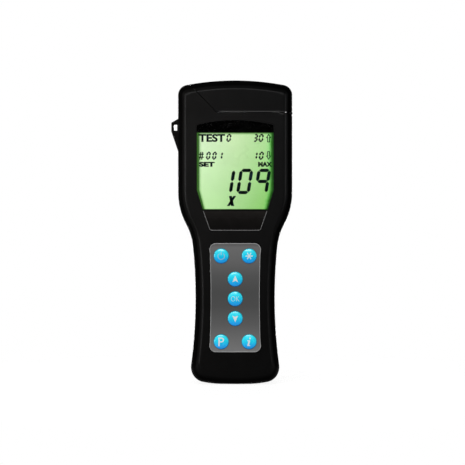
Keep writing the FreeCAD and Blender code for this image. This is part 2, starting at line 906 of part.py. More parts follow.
def on_board(x, z, size):
    wide, high, tall = size
    return block(x - wide / 2, x + wide / 2, board_rear_y, board_rear_y + tall, z - high / 2, z + high / 2)


def make_board_parts():
    upper_z = board_top_z - parts_below_board_top
    parts = [
        on_board(*main_chip_place, main_chip),
        on_board(*amplifier_place, amplifier_chip),
        on_board(display_chip_x, upper_z, display_chip),
        on_board(*connector_place, connector),
    ]
    for z in (low_capacitor_z, upper_z):
        parts.append(rod_y(capacitor_r, capacitor_x, z, board_rear_y, board_rear_y + capacitor_tall))
    return Part.makeCompound(parts)


def make_buzzer():
    top_y = board_rear_y + buzzer_tall
    buzzer = rod_y(buzzer_r, *buzzer_place, board_rear_y, top_y)
    return buzzer.cut(rod_y(buzzer_hole_r, *buzzer_place, top_y - buzzer_hole_deep, top_y + past))


# Detector: photodiode on the board, its screening can and the foam ring against the tube
def make_photodiode():
    top_y = board_rear_y + diode_tall
    base = rod_y(diode_r + diode_rim, well_x, well_view_z, board_rear_y, board_rear_y + diode_foot)
    cap = rod_y(diode_r, well_x, well_view_z, board_rear_y, top_y)
    glass = rod_y(diode_glass_r, well_x, well_view_z, top_y - diode_glass_deep, top_y + past)
    return fuse_all([base, cap]).cut(glass)


def detector_can_box(shrink):
    low_x = max(well_x - can_half, -board_grip_half) + shrink
    high_x = min(well_x + can_half, board_grip_half) - shrink
    low_z = well_view_z - can_half + shrink
    high_z = well_view_z + can_above - shrink
    return block(low_x, high_x, board_rear_y - shrink, board_rear_y + can_tall - shrink, low_z, high_z)


def make_detector_can():
    can = detector_can_box(0.0).cut(detector_can_box(can_wall))
    return can.cut(rod_y(can_hole_r, well_x, well_view_z, board_rear_y + can_wall, 0))


# The ring's rear end is hollowed to the round of the tube
def make_detector_seal():
    low_y = board_rear_y + can_tall
    ring = rod_y(seal_ring_r, well_x, well_view_z, low_y, low_y + seal_ring_long)
    ring = ring.cut(rod_y(seal_ring_hole_r, well_x, well_view_z, low_y - past, well_y))
    return ring.cut(rod_z(well_outer_r + pin_gap, well_x, well_y, 0, deck_top_z))


# Batteries and their tray
def make_battery_cells():
    cells = []
    for x, up in ((left_cell_x, True), (right_cell_x, False)):
        can_low = cell_low_z if up else cell_low_z + cell_nub
        can = rod_z(cell_r, x, well_y, can_low, can_low + cell_long)
        rims = [edge for edge in can.Edges if edge.BoundBox.ZLength < 0.01]
        can = can.makeChamfer(cell_bevel, rims)
        nub_low = can_low + cell_long if up else cell_low_z
        cells.append(fuse_all([can, rod_z(cell_nub_r, x, well_y, nub_low, nub_low + cell_nub)]))
    return Part.makeCompound(cells)


def make_battery_cradle():
    cradle = prism(
        [
            (cradle_left_x, cradle_low_z),
            (cradle_right_x, cradle_low_z),
            (cradle_right_x, cradle_top_z),
            (cradle_left_x, cradle_top_z),
        ],
        cradle_front_y,
        rear_inner_y - cradle_below_door,
    )
    front_sides = [
        edge
        for edge in cradle.Edges
        if edge.BoundBox.YMax < cradle_front_y + 0.01 and edge.BoundBox.XLength < 0.01
    ]
    cradle = cradle.makeFillet(cradle_front_r, front_sides)
    low = cradle_low_z + cradle_wall
    high = cradle_top_z - cradle_wall
    for x in (left_cell_x, right_cell_x):
        cradle = cradle.cut(rod_z(cell_r + cell_space / 2, x, well_y, low, high))
        side = cell_r + cell_space / 2
        cradle = cradle.cut(block(x - side, x + side, well_y, rear_depth, low, high))
    return cradle.common(inside_body(wall + fit_gap))


# A plate at each end of each cell, with a bump towards it
def make_battery_contacts():
    contacts = []
    rise = contact_space - contact_thick - fit_gap
    low_plate = cradle_low_z + cradle_wall
    high_plate = cradle_top_z - cradle_wall - contact_thick
    for x in (left_cell_x, right_cell_x):
        for plate_z, start, way in ((low_plate, low_plate + contact_thick, 1), (high_plate, high_plate, -1)):
            plate = block(x - contact_half, x + contact_half, well_y - contact_half, well_y + contact_half,
                          plate_z, plate_z + contact_thick)
            bump = Part.makeCone(bump_foot_r, bump_tip_r, rise, V(x, well_y, start), V(0, 0, way))
            contacts.append(fuse_all([plate, bump]))
    return Part.makeCompound(contacts)


# Battery door: a piece of the rear skin with two tongues at its lower edge and a ribbed grip
def make_battery_door():
    skin = rear_outside().cut(rear_inside(door_thick))
    opening = block(door_left_x + door_edge_gap, door_right_x - door_edge_gap, well_y + saddle_hold,
                    rear_depth + past, door_low_z + door_edge_gap, door_top_z - door_edge_gap)
    door = skin.common(opening)
    middle_x = (door_left_x + door_right_x) / 2
    for rib in range(grip_ribs):
        top = door_top_z - grip_below_door_top - rib * grip_rib_step
        door = door.cut(block(middle_x - grip_rib_wide / 2, middle_x + grip_rib_wide / 2,
                              rear_depth - grip_rib_deep, rear_depth + past, top - grip_rib_high, top))
    door = door.cut(finger_scoop())
    span = door_right_x - door_left_x
    tongue_y = rear_inner_y - fit_gap - tongue_thick
    tongues = []
    for share in tongue_shares:
        low_x = door_left_x + span * share - tongue_wide / 2
        high_x = low_x + tongue_wide
        root_z = door_low_z + tongue_root
        tongues.append(block(low_x, high_x, tongue_y, tongue_y + tongue_thick,
                             door_low_z - tongue_long, root_z))
        tongues.append(block(low_x, high_x, tongue_y, rear_depth - door_thick + fit_gap,
                             door_low_z + door_edge_gap, root_z))
    return fuse_all([door] + tongues)


def make_door_pad():
    low_y = well_y + cell_r + run_gap
    low_z = cell_low_z + pad_start
    return block(left_cell_x - pad_side, right_cell_x + pad_side, low_y, rear_depth - door_thick,
                 low_z, low_z + pad_long)


nodes = {
    "front_shell": make_front_shell(),
    "rear_shell": make_rear_shell(),
    "case_seal": make_case_seal(),
    "deck": make_deck(),
    "deck_magnet": make_deck_magnet(),
    "well_tube": make_well_tube(),
    "well_buffer": make_well_buffer(),
    "lid_cover": make_lid_cover(),
    "lid_liner": make_lid_liner(),
    "lid_seal": make_lid_seal(),
    "lid_magnet": make_lid_magnet(),
    "hinge_pin": make_hinge_pin(),
    "window_lens": make_window_lens(),
    "name_plate": make_name_plate(),
    "keypad_panel": make_keypad_panel(),
    "key_domes": make_key_domes(),
    "main_board": make_main_board(),
    "board_screws": make_board_screws(),
    "case_screws": make_case_screws(),
    "display_glass": make_display_glass(),
    "display_backlight": make_display_backlight(),
    "display_strips": make_display_strips(),
    "display_frame": make_display_frame(),
    "board_parts": make_board_parts(),
    "buzzer": make_buzzer(),
    "photodiode": make_photodiode(),
    "detector_can": make_detector_can(),
    "detector_seal": make_detector_seal(),
    "battery_cells": make_battery_cells(),
    "battery_cradle": make_battery_cradle(),
    "battery_contacts": make_battery_contacts(),
    "battery_door": make_battery_door(),
    "door_pad": make_door_pad(),
}
for name, (x, z) in key_places.items():
    nodes[name] = make_key(x, z)

os.makedirs("parts", exist_ok=True)
for name, shape in nodes.items():
    shape.exportStep("parts/" + name + ".step")
    print(name, len(shape.Solids), round(shape.Volume, 1), shape.isValid())
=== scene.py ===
import math
import bmesh
import bpy
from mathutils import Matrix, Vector


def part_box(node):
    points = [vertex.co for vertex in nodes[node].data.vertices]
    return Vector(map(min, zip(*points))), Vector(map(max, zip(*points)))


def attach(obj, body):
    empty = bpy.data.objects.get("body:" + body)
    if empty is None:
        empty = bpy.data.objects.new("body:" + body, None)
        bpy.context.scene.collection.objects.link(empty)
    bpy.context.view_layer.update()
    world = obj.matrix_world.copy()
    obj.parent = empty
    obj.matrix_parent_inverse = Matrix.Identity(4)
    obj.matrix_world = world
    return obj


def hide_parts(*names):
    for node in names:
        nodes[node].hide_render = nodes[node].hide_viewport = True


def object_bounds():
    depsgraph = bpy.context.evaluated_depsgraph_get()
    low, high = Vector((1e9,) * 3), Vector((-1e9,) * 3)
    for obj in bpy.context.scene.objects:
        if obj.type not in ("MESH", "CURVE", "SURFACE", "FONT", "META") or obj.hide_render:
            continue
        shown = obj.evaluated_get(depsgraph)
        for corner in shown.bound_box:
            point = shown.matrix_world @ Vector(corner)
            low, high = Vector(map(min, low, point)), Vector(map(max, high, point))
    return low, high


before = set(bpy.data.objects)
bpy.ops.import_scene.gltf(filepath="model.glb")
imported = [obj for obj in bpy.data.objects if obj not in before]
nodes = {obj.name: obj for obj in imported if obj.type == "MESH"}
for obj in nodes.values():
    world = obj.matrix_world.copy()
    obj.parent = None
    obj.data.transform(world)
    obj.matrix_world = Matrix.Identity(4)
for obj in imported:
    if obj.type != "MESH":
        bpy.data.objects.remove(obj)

# Looks of the handheld luminometer. Lengths in the settings are millimetres, in the frame's own axes:
# X to the right, the face looks along -Y, Z runs up from the foot.

mm = 0.001
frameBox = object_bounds()
for stray in ("Cube", "Light", "Camera"):
    if stray in bpy.data.objects:
        bpy.data.objects.remove(bpy.data.objects[stray])
print("frame loaded with", len(nodes), "nodes")


# What the pieces share

def boxInMm(node):
    low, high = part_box(node)
    return [v / mm for v in low], [v / mm for v in high]


def centreOf(low, high):
    return (low[0] + high[0]) / 2, (low[2] + high[2]) / 2


def rectangle(x0, x1, z0, z1):
    return [(x0, z0), (x1, z0), (x1, z1), (x0, z1)]


def meshObject(name, work, material, body, smooth=True):
    bmesh.ops.recalc_face_normals(work, faces=work.faces[:])
    mesh = bpy.data.meshes.new(name)
    work.to_mesh(mesh)
    work.free()
    for face in mesh.polygons:
        face.use_smooth = smooth
    piece = bpy.data.objects.new(name, mesh)
    bpy.context.scene.collection.objects.link(piece)
    mesh.materials.append(material)
    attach(piece, body)
    return piece


# Grows the flat faces drawn so far into a sheet, and gives the points of its far side
def thicken(work, by):
    grown = bmesh.ops.extrude_face_region(work, geom=work.faces[:])
    moved = [part for part in grown["geom"] if isinstance(part, bmesh.types.BMVert)]
    bmesh.ops.translate(work, verts=moved, vec=by)
    return moved


# Flat shapes seen from the front, each a list of (x, z), with a small thickness towards the back
def flatPiece(name, shapes, y, thick, material, body):
    work = bmesh.new()
    for shape in shapes:
        work.faces.new([work.verts.new((x * mm, y * mm, z * mm)) for x, z in shape])
    thicken(work, (0, thick * mm, 0))
    return meshObject(name, work, material, body, smooth=False)


def cornerArc(before, corner, after, radius, steps=5):
    a = (Vector(before) - Vector(corner)).normalized()
    b = (Vector(after) - Vector(corner)).normalized()
    half = a.angle(b) / 2
    reach = radius / math.tan(half)
    middle = Vector(corner) + (a + b).normalized() * radius / math.sin(half)
    start = Vector(corner) + a * reach - middle
    end = Vector(corner) + b * reach - middle
    turn = start.angle_signed(end)
    points = []
    for step in range(steps + 1):
        angle = -turn * step / steps
        cos, sin = math.cos(angle), math.sin(angle)
        points.append((middle.x + start.x * cos - start.y * sin, middle.y + start.x * sin + start.y * cos))
    return points


def roundedLoop(corners, radii):
    loop = []
    count = len(corners)
    for i, corner in enumerate(corners):
        if radii[i] > 0:
            loop += cornerArc(corners[i - 1], corner, corners[(i + 1) % count], radii[i])
        else:
            loop.append(tuple(corner))
    return loop


# A sheet between an outer and an inner loop
def sheetWithHole(name, outer, inner, y, thick, material, body):
    work = bmesh.new()
    edges = []
    for loop in (outer, inner):
        points = [work.verts.new((x * mm, y * mm, z * mm)) for x, z in loop]
        edges += [work.edges.new((points[i - 1], points[i])) for i in range(len(points))]
    bmesh.ops.triangle_fill(work, use_beauty=True, edges=edges)
    thicken(work, (0, thick * mm, 0))
    return meshObject(name, work, material, body, smooth=False)


# Half of a lens in section, as shares of the band's width and of its rise
bandSection = ((-0.5, 0.0), (-0.3, 0.8), (0.0, 1.0), (0.3, 0.8), (0.5, 0.0))


# A narrow raised band that follows a line, lens shaped in section
def band(name, path, width, y, rise, closed, material, body):
    work = bmesh.new()
    rows = []
    count = len(path)
    for i, (x, z) in enumerate(path):
        before = path[i - 1] if closed or i > 0 else path[i]
        after = path[(i + 1) % count] if closed or i < count - 1 else path[i]
        along = (Vector(after) - Vector(before)).normalized()
        side = Vector((-along.y, along.x))
        row = []
        for share, lift in bandSection:
            place = Vector((x, z)) + side * width * share
            row.append(work.verts.new((place.x * mm, (y - rise * lift) * mm, place.y * mm)))
        rows.append(row)
    for i in range(count if closed else count - 1):
        a, b = rows[i], rows[(i + 1) % count]
        for j in range(len(a) - 1):
            work.faces.new((a[j], a[j + 1], b[j + 1], b[j]))
        work.faces.new((a[-1], a[0], b[0], b[-1]))
    return meshObject(name, work, material, body)


# A piece turned about an axis along Y from a profile of (radius, y)
def turnedRings(work, profile, x, z, steps=72, onAxis=1e-6):
    rings = []
    for radius, y in profile:
        if radius < onAxis:
            rings.append([work.verts.new((x * mm, y * mm, z * mm))])
            continue
        ring = []
        for step in range(steps):
            angle = 2 * math.pi * step / steps
            ring.append(work.verts.new(((x + radius * math.cos(angle)) * mm, y * mm,
                                        (z + radius * math.sin(angle)) * mm)))
        rings.append(ring)
    for a, b in zip(rings, rings[1:]):
        for step in range(steps):
            after = (step + 1) % steps
            if len(a) == 1:
                work.faces.new((a[0], b[step], b[after]))
            elif len(b) == 1:
                work.faces.new((a[step], b[0], a[after]))
            else:
                work.faces.new((a[step], b[step], b[after], a[after]))


# Material building

def newFinish(name):
    finish = bpy.data.materials.new(name)
    finish.use_nodes = True
    tree = finish.node_tree
    shader = tree.nodes["Principled BSDF"]
    place = tree.nodes.new("ShaderNodeTexCoord").outputs["Object"]
    return finish, tree, shader, place


# Gives a node its inputs by name or number: a socket is linked, and a value or colour is set
def feed(tree, node, values):
    for name, value in values.items():
        socket = node.inputs[name]
        if isinstance(value, bpy.types.NodeSocket):
            tree.links.new(value, socket)
        else:
            socket.default_value = (*value, 1) if socket.type == "RGBA" else value


def addNode(tree, kind, values):
    node = tree.nodes.new(kind)
    feed(tree, node, values)
    return node


def worked(tree, how, *values):
    node = tree.nodes.new("ShaderNodeMath")
    node.operation = how
    feed(tree, node, dict(enumerate(values)))
    return node.outputs["Value"]


def speckle(tree, place, perMetre, detail=2.0, stretch=(1, 1, 1)):
    mapping = addNode(tree, "ShaderNodeMapping", {"Vector": place, "Scale": stretch})
    noise = {"Vector": mapping.outputs["Vector"], "Scale": perMetre, "Detail": detail}
    return addNode(tree, "ShaderNodeTexNoise", noise).outputs["Fac"]


def ramp(tree, value, stops):
    node = tree.nodes.new("ShaderNodeValToRGB")
    ends = node.color_ramp.elements
    while len(ends) < len(stops):
        ends.new(0.5)
    for end, (where, colour) in zip(ends, stops):
        end.position = where
        end.color = (*colour, 1)
    tree.links.new(value, node.inputs["Fac"])
    return node.outputs["Color"]


def spread(tree, value, fromLow, fromHigh, toLow, toHigh):
    ends = {"From Min": fromLow, "From Max": fromHigh, "To Min": toLow, "To Max": toHigh}
    return addNode(tree, "ShaderNodeMapRange", {"Value": value, **ends}).outputs["Result"]


def axisValue(tree, place, axis):
    node = tree.nodes.new("ShaderNodeSeparateXYZ")
    tree.links.new(place, node.inputs["Vector"])
    return node.outputs[axis]


# Where a point lies between two places on one axis, from 0 to 1
def shareAlong(tree, place, axis, low, high):
    return spread(tree, axisValue(tree, place, axis), low * mm, high * mm, 0.0, 1.0)


def shareOfHeight(tree, place, node):
    low, high = boxInMm(node)
    return shareAlong(tree, place, "Z", low[2], high[2])


def mixColours(tree, how, share, first, second):
    node = tree.nodes.new("ShaderNodeMix")
    node.data_type = "RGBA"
    node.blend_type = how
    feed(tree, node, {"Factor": share, "A": first, "B": second})
    return node.outputs["Result"]


def product(tree, first, second):
    return mixColours(tree, "MULTIPLY", 1.0, first, second)


# Noise seldom leaves the range between these two values
noiseLow, noiseHigh = 0.3, 0.7


def shades(tree, noise, dark, light):
    return ramp(tree, noise, [(noiseLow, dark), (noiseHigh, light)])


def uneven(tree, noise, low, high):
    return spread(tree, noise, noiseLow, noiseHigh, low, high)


# Relief of the surface, with its edges rounded in shading where a radius is given
def bump(tree, shader, height, strength, deep, edgeR=None, edgeSamples=8):
    node = addNode(tree, "ShaderNodeBump", {"Strength": strength, "Distance": deep * mm, "Height": height})
    if edgeR is not None:
        softened = addNode(tree, "ShaderNodeBevel", {"Radius": edgeR})
        softened.samples = edgeSamples
        feed(tree, node, {"Normal": softened.outputs["Normal"]})
    feed(tree, shader, {"Normal": node.outputs["Normal"]})


driftPerMetre = 90
grainStrength = 0.6


# A moulded or painted surface: colour that drifts a little, a fine grain and uneven gloss
def grainedFinish(name, dark, light, rough, grainPerMm, grainDeep, specular=0.5, metal=0.0,
                  stretch=(1, 1, 1)):
    finish, tree, shader, place = newFinish(name)
    drifting = speckle(tree, place, driftPerMetre, 3.0)
    grain = speckle(tree, place, grainPerMm / mm, 2.0, stretch)
    feed(tree, shader, {
        "Base Color": shades(tree, drifting, dark, light),
        "Roughness": uneven(tree, grain, *rough),
        "Specular IOR Level": specular,
        "Metallic": metal,
    })
    bump(tree, shader, grain, grainStrength, grainDeep)
    return finish


def grey(value):
    return (value, value, value)


# The case's plastic: black with a fine spark grain. Its colour holds painted light and shade: lighter to the
# upper left, darker to the lower right and towards the foot, darker on the sides just behind the front, and
# lighter on the back
caseSettings = {
    "half": 36.0,
    "top": 191.0,
    "depth": (-15.0, 16.6),
    # Painted light and shade: shares of the colour across the case, up it and into it
    "across": [(0.05, (1.0, 0.92, 0.88)), (0.5, (0.75, 0.72, 0.70)), (0.95, (0.46, 0.46, 0.48))],
    "upwards": [(0.0, grey(0.4)), (0.12, grey(0.5)), (0.3, grey(0.6)), (0.6, grey(1.0)), (0.9, grey(0.9))],
    "inwards": [(0.06, grey(1.0)), (0.11, grey(0.45)), (0.6, grey(1.0)), (0.99, grey(1.6))],
    "dark": 0.0045,
    "light": 0.0070,
    "rough": (0.32, 0.44),
    "grain": 2.6,
    "grainDeep": 0.02,
    "shine": [(0.0, grey(0.17)), (0.07, grey(0.16)), (0.11, grey(0.02)), (0.5, grey(0.04)), (0.6, grey(0.12)),
              (0.99, grey(0.2))],
    "shineUpwards": [(0.0, grey(0.5)), (0.1, grey(0.6)), (0.3, grey(0.8)), (0.6, grey(1.0)),
                     (0.86, grey(1.0)), (0.9, grey(0.75))],
    "edgeR": 2.2,
    "edgeFrom": [(0.47, grey(18.0)), (0.52, grey(27.0))],
    "edgeFade": 1.5,
}


# Painted highlight on the lower lip of the lid, along the level part of its seam
lipHighlightSettings = {
    "from": 170.0,
    "to": 171.2,
    "startX": -10.4,
    "along": [(0.0, grey(0.0)), (0.03, grey(1.0))],
    "stops": [(0.0, grey(0.05)), (0.5, grey(0.05)), (0.9, grey(0.0))],
}


# The front's edge all round is softly rounded and glossy, its sides are dull, and the window's edge is sharp
def caseFinish(name, settings, lipHighlight=None):
    finish, tree, shader, place = newFinish(name)
    across = shareAlong(tree, place, "X", -settings["half"], settings["half"])
    inwards = shareAlong(tree, place, "Y", *settings["depth"])
    upwards = shareAlong(tree, place, "Z", 0.0, settings["top"])
    # Painted light and shade: the colour is lighter to the upper left, darker to the lower right, towards the
    # foot and on the sides just behind the front, and lighter on the back
    shade = product(tree, ramp(tree, across, settings["across"]), ramp(tree, upwards, settings["upwards"]))
    shade = product(tree, shade, ramp(tree, inwards, settings["inwards"]))
    drifting = speckle(tree, place, driftPerMetre, 3.0)
    base = product(tree, shades(tree, drifting, grey(settings["dark"]), grey(settings["light"])), shade)
    # Painted highlight: a light line added to the colour along the lid's lower lip, from the seam's bend to
    # the right side
    if lipHighlight:
        height = shareAlong(tree, place, "Z", lipHighlight["from"], lipHighlight["to"])
        along = ramp(tree, shareAlong(tree, place, "X", lipHighlight["startX"], settings["half"]), lipHighlight["along"])
        base = mixColours(tree, "ADD", along, base, ramp(tree, height, lipHighlight["stops"]))
    grain = speckle(tree, place, settings["grain"] / mm)
    feed(tree, shader, {
        "Base Color": base,
        "Roughness": uneven(tree, grain, *settings["rough"]),
        "Specular IOR Level": product(tree, ramp(tree, inwards, settings["shine"]),
                                      ramp(tree, upwards, settings["shineUpwards"])),
    })
    away = worked(tree, "ABSOLUTE", axisValue(tree, place, "X"))
    past = worked(tree, "MULTIPLY_ADD", ramp(tree, upwards, settings["edgeFrom"]), -mm, away)
    edgeR = spread(tree, past, 0.0, settings["edgeFade"] * mm, 0.0, settings["edgeR"] * mm)
    bump(tree, shader, grain, grainStrength, settings["grainDeep"], edgeR)
    return finish


# Plain finishes of the nodes that keep their CAD shape
casePlastic = caseFinish("casePlastic", caseSettings)
lidPlastic = caseFinish("lidPlastic", caseSettings, lipHighlightSettings)
innerPlastic = grainedFinish("innerPlastic", grey(0.012), grey(0.018), (0.4, 0.55), 1.6, 0.015, specular=0.35)
wellPlastic = grainedFinish("wellPlastic", grey(0.006), grey(0.009), (0.25, 0.38), 0.8, 0.006, specular=0.5)
softBlack = grainedFinish("softBlack", grey(0.01), grey(0.022), (0.75, 0.95), 3.2, 0.08, specular=0.2)
brightSteel = grainedFinish("brightSteel", grey(0.5), grey(0.62), (0.16, 0.3), 3.0, 0.004, metal=1.0,
                            stretch=(1, 0.15, 1))
darkSteel = grainedFinish("darkSteel", grey(0.012), grey(0.02), (0.3, 0.42), 2.0, 0.004, metal=0.4,
                          specular=0.2)
magnetSteel = grainedFinish("magnetSteel", grey(0.42), grey(0.5), (0.25, 0.4), 2.0, 0.006, metal=1.0)
screenTin = grainedFinish("screenTin", grey(0.55), grey(0.66), (0.3, 0.45), 1.2, 0.01, metal=1.0)
nickelPlate = grainedFinish("nickelPlate", (0.62, 0.58, 0.5), (0.7, 0.66, 0.58), (0.18, 0.3), 1.4, 0.006,
                            metal=1.0)
domeMetal = grainedFinish("domeMetal", grey(0.6), grey(0.7), (0.2, 0.32), 2.2, 0.004, metal=1.0)
chipBlack = grainedFinish("chipBlack", grey(0.012), grey(0.02), (0.5, 0.65), 2.4, 0.01, specular=0.4)
print("plain finishes made")


# Battery cells: a wrapped can, light metal with a warm band at the plus end
cellSettings = {
    "metal": (0.6, 0.6, 0.58),
    "body": (0.05, 0.055, 0.06),
    "warm": (0.55, 0.24, 0.08),
    "bodyFrom": 0.032,
    "warmFrom": 0.722,
    "metalFrom": 0.962,
    "rough": (0.22, 0.34),
    "metallic": 0.6,
    "edge": 0.004,
    "wearPerMetre": 300,
    "wearShare": 0.25,
    "wearDark": 0.5,
    "relief": (0.3, 0.01),
}


# Wrap of the two cells, which lie head to foot: the warm band marks the positive end of each
def cellWrap(settings):
    finish, tree, shader, place = newFinish("cellWrap")
    low, high = boxInMm("battery_cells")
    upwards = shareAlong(tree, place, "Z", low[2], high[2])
    downwards = shareAlong(tree, place, "Z", high[2], low[2])
    rightSide = worked(tree, "GREATER_THAN", axisValue(tree, place, "X"), centreOf(low, high)[0] * mm)
    share = addNode(tree, "ShaderNodeMix", {"Factor": rightSide, "A": upwards, "B": downwards})
    metal, body, warm, edge = settings["metal"], settings["body"], settings["warm"], settings["edge"]
    bands = (("bodyFrom", metal, body), ("warmFrom", body, warm), ("metalFrom", warm, metal))
    stops = [(0.0, metal)]
    for start, before, after in bands:
        stops += [(settings[start], before), (settings[start] + edge, after)]
    wear = speckle(tree, place, settings["wearPerMetre"], 4.0)
    worn = shades(tree, wear, grey(settings["wearDark"]), grey(1.0))
    wrap = ramp(tree, share.outputs["Result"], stops)
    feed(tree, shader, {
        "Base Color": mixColours(tree, "MULTIPLY", settings["wearShare"], wrap, worn),
        "Roughness": uneven(tree, wear, *settings["rough"]),
        "Metallic": settings["metallic"],
    })
    bump(tree, shader, wear, *settings["relief"])
    return finish


# Circuit board: green mask over faint tracks
boardSettings = {
    "tracksPerMetre": 420,
    "trackWidth": 0.03,
    "masks": ((0.008, 0.075, 0.028), (0.01, 0.09, 0.034)),
    "track": (0.02, 0.16, 0.06),
    "weavePerMetre": 900,
    "rough": (0.25, 0.4),
    "relief": (0.2, 0.02),
}


def boardFinish(settings):
    finish, tree, shader, place = newFinish("boardMask")
    mapping = addNode(tree, "ShaderNodeMapping", {"Vector": place, "Rotation": (math.radians(90), 0, 0)})
    brick = addNode(tree, "ShaderNodeTexBrick", {
        "Vector": mapping.outputs["Vector"],
        "Scale": settings["tracksPerMetre"],
        "Mortar Size": settings["trackWidth"],
        "Color1": settings["masks"][0],
        "Color2": settings["masks"][1],
        "Mortar": settings["track"],
    })
    weave = speckle(tree, place, settings["weavePerMetre"])
    feed(tree, shader, {
        "Base Color": brick.outputs["Color"],
        "Roughness": uneven(tree, weave, *settings["rough"]),
    })
    bump(tree, shader, brick.outputs["Fac"], *settings["relief"])
    return finish


# A finish whose colour and relief both follow one regular pattern
def patternFinish(name, kind, output, perMetre, stops, rough, relief):
    finish, tree, shader, place = newFinish(name)
    pattern = addNode(tree, kind, {"Vector": place, "Scale": perMetre}).outputs[output]
    feed(tree, shader, {"Base Color": ramp(tree, pattern, stops), "Roughness": rough})
    bump(tree, shader, pattern, *relief)
    return finish


# Striped rubber of the display's contact strips, and the diffuser behind the display
stripRubber = patternFinish("stripRubber", "ShaderNodeTexWave", "Fac", 500,
                            [(0.4, (0.55, 0.3, 0.3)), (0.6, grey(0.03))], 0.7, (0.3, 0.02))
lightDiffuser = patternFinish("lightDiffuser", "ShaderNodeTexVoronoi", "Distance", 1400,
                              [(0.2, (0.6, 0.85, 0.5)), (0.5, (0.75, 0.95, 0.65))], 0.5, (0.3, 0.01))


# The display is a lit field, pale at the upper left and greener to the lower right. Its dark green rim
# follows the sides down to the tapered foot
displaySettings = {
    "half": 23.1,
    "lowHalf": 19.75,
    "taperZ": 121.7,
    "lowZ": 109.5,
    "topZ": 157.35,
    "glow": 1.08,
    "cloudPerMetre": 60,
    "dark": (0.02, 0.05, 0.02),
    "light": (0.04, 0.08, 0.03),
    "rough": (0.25, 0.4),
    "topAcross": [
        (0.0, (0.70, 0.88, 0.60)),
        (0.5, (0.59, 0.80, 0.45)),
        (0.9, (0.45, 0.73, 0.33)),
        (1.0, (0.35, 0.70, 0.27)),
    ],
    "lowAcross": [
        (0.0, (0.546, 0.855, 0.407)),
        (0.5, (0.371, 0.658, 0.266)),
        (0.9, (0.243, 0.565, 0.138)),
        (1.0, (0.18, 0.50, 0.10)),
    ],
    "sideRim": [
        (0.0, (0.02, 0.05, 0.02)),
        (0.009, (0.09, 0.165, 0.07)),
        (0.022, (0.55, 0.69, 0.52)),
        (0.035, (0.88, 0.93, 0.84)),
        (0.05, (1.0, 1.0, 1.0)),
        (0.93, (1.0, 1.0, 1.0)),
        (0.951, (0.90, 1.0, 0.95)),
        (0.965, (0.60, 0.85, 0.62)),
        (0.978, (0.33, 0.60, 0.30)),
        (0.991, (0.08, 0.24, 0.06)),
        (1.0, (0.03, 0.10, 0.03)),
    ],
    "endRim": [
        (0.0, (0.50, 0.60, 0.45)),
        (0.012, (1.0, 1.0, 1.0)),
        (0.972, (1.0, 1.0, 1.0)),
        (0.988, (0.50, 0.66, 0.46)),
        (1.0, (0.05, 0.12, 0.03)),
    ],
}


# How far out a point lies between the display's two sides, which taper at the foot: 0 is the middle,
# 1 is the side
def sideShare(tree, place, settings):
    half = spread(tree, axisValue(tree, place, "Z"), settings["lowZ"] * mm, settings["taperZ"] * mm,
                  settings["lowHalf"] * mm, settings["half"] * mm)
    return worked(tree, "DIVIDE", axisValue(tree, place, "X"), half)


def litField(settings):
    finish, tree, shader, place = newFinish("litDisplay")
    inward = spread(tree, sideShare(tree, place, settings), -1.0, 1.0, 0.0, 1.0)
    across = shareAlong(tree, place, "X", -settings["half"], settings["half"])
    upwards = shareAlong(tree, place, "Z", settings["lowZ"], settings["topZ"])
    field = mixColours(tree, "MIX", upwards, ramp(tree, across, settings["lowAcross"]),
                       ramp(tree, across, settings["topAcross"]))
    rims = product(tree, ramp(tree, inward, settings["sideRim"]), ramp(tree, upwards, settings["endRim"]))
    cloud = speckle(tree, place, settings["cloudPerMetre"])
    feed(tree, shader, {
        "Emission Color": product(tree, field, rims),
        "Emission Strength": settings["glow"],
        "Base Color": shades(tree, cloud, settings["dark"], settings["light"]),
        "Roughness": uneven(tree, cloud, *settings["rough"]),
    })
    return finish


# Clear lens over the display
lensSettings = {"smearPerMetre": 70, "tints": (grey(0.96), grey(1.0)), "rough": (0.0, 0.03), "ior": 1.45}


def lensFinish(settings):
    finish, tree, shader, place = newFinish("clearLens")
    smear = speckle(tree, place, settings["smearPerMetre"], 4.0)
    feed(tree, shader, {
        "Base Color": shades(tree, smear, *settings["tints"]),
        "Roughness": uneven(tree, smear, *settings["rough"]),
        "Transmission Weight": 1.0,
        "IOR": settings["ior"],
    })
    return finish


# Silver grey lacquer of the keypad panel: a satin metallic coat, with a painted reflection that makes it
# brighter towards both ends and darker in the middle
panelSettings = {
    "stops": [
        (0.0, grey(0.26)),
        (0.10, grey(0.22)),
        (0.25, grey(0.15)),
        (0.42, grey(0.105)),
        (0.55, grey(0.098)),
        (0.70, grey(0.125)),
        (0.85, grey(0.185)),
        (0.96, grey(0.21)),
        (1.0, grey(0.13)),
    ],
    "glimmer": 0.16,
    "glimmerDark": 0.55,
    "flakesPerMetre": 5200,
    "rough": (0.34, 0.5),
    "metallic": 0.35,
    "relief": (0.15, 0.006),
    "specular": 0.3,
}


def panelFinish(settings):
    finish, tree, shader, place = newFinish("panelLacquer")
    share = shareOfHeight(tree, place, "keypad_panel")
    flakes = {"Vector": place, "Scale": settings["flakesPerMetre"]}
    flake = addNode(tree, "ShaderNodeTexVoronoi", flakes).outputs["Distance"]
    glint = ramp(tree, flake, [(0.0, grey(1.0)), (1.0, grey(settings["glimmerDark"]))])
    # Painted reflection: the lacquer's grey follows the panel's height, brighter towards both ends
    lacquerWithPaintedReflection = ramp(tree, share, settings["stops"])
    feed(tree, shader, {
        "Base Color": mixColours(tree, "MULTIPLY", settings["glimmer"], lacquerWithPaintedReflection, glint),
        "Roughness": spread(tree, flake, 0.0, 1.0, *settings["rough"]),
        "Metallic": settings["metallic"],
        "Specular IOR Level": settings["specular"],
    })
    bump(tree, shader, flake, *settings["relief"])
    return finish


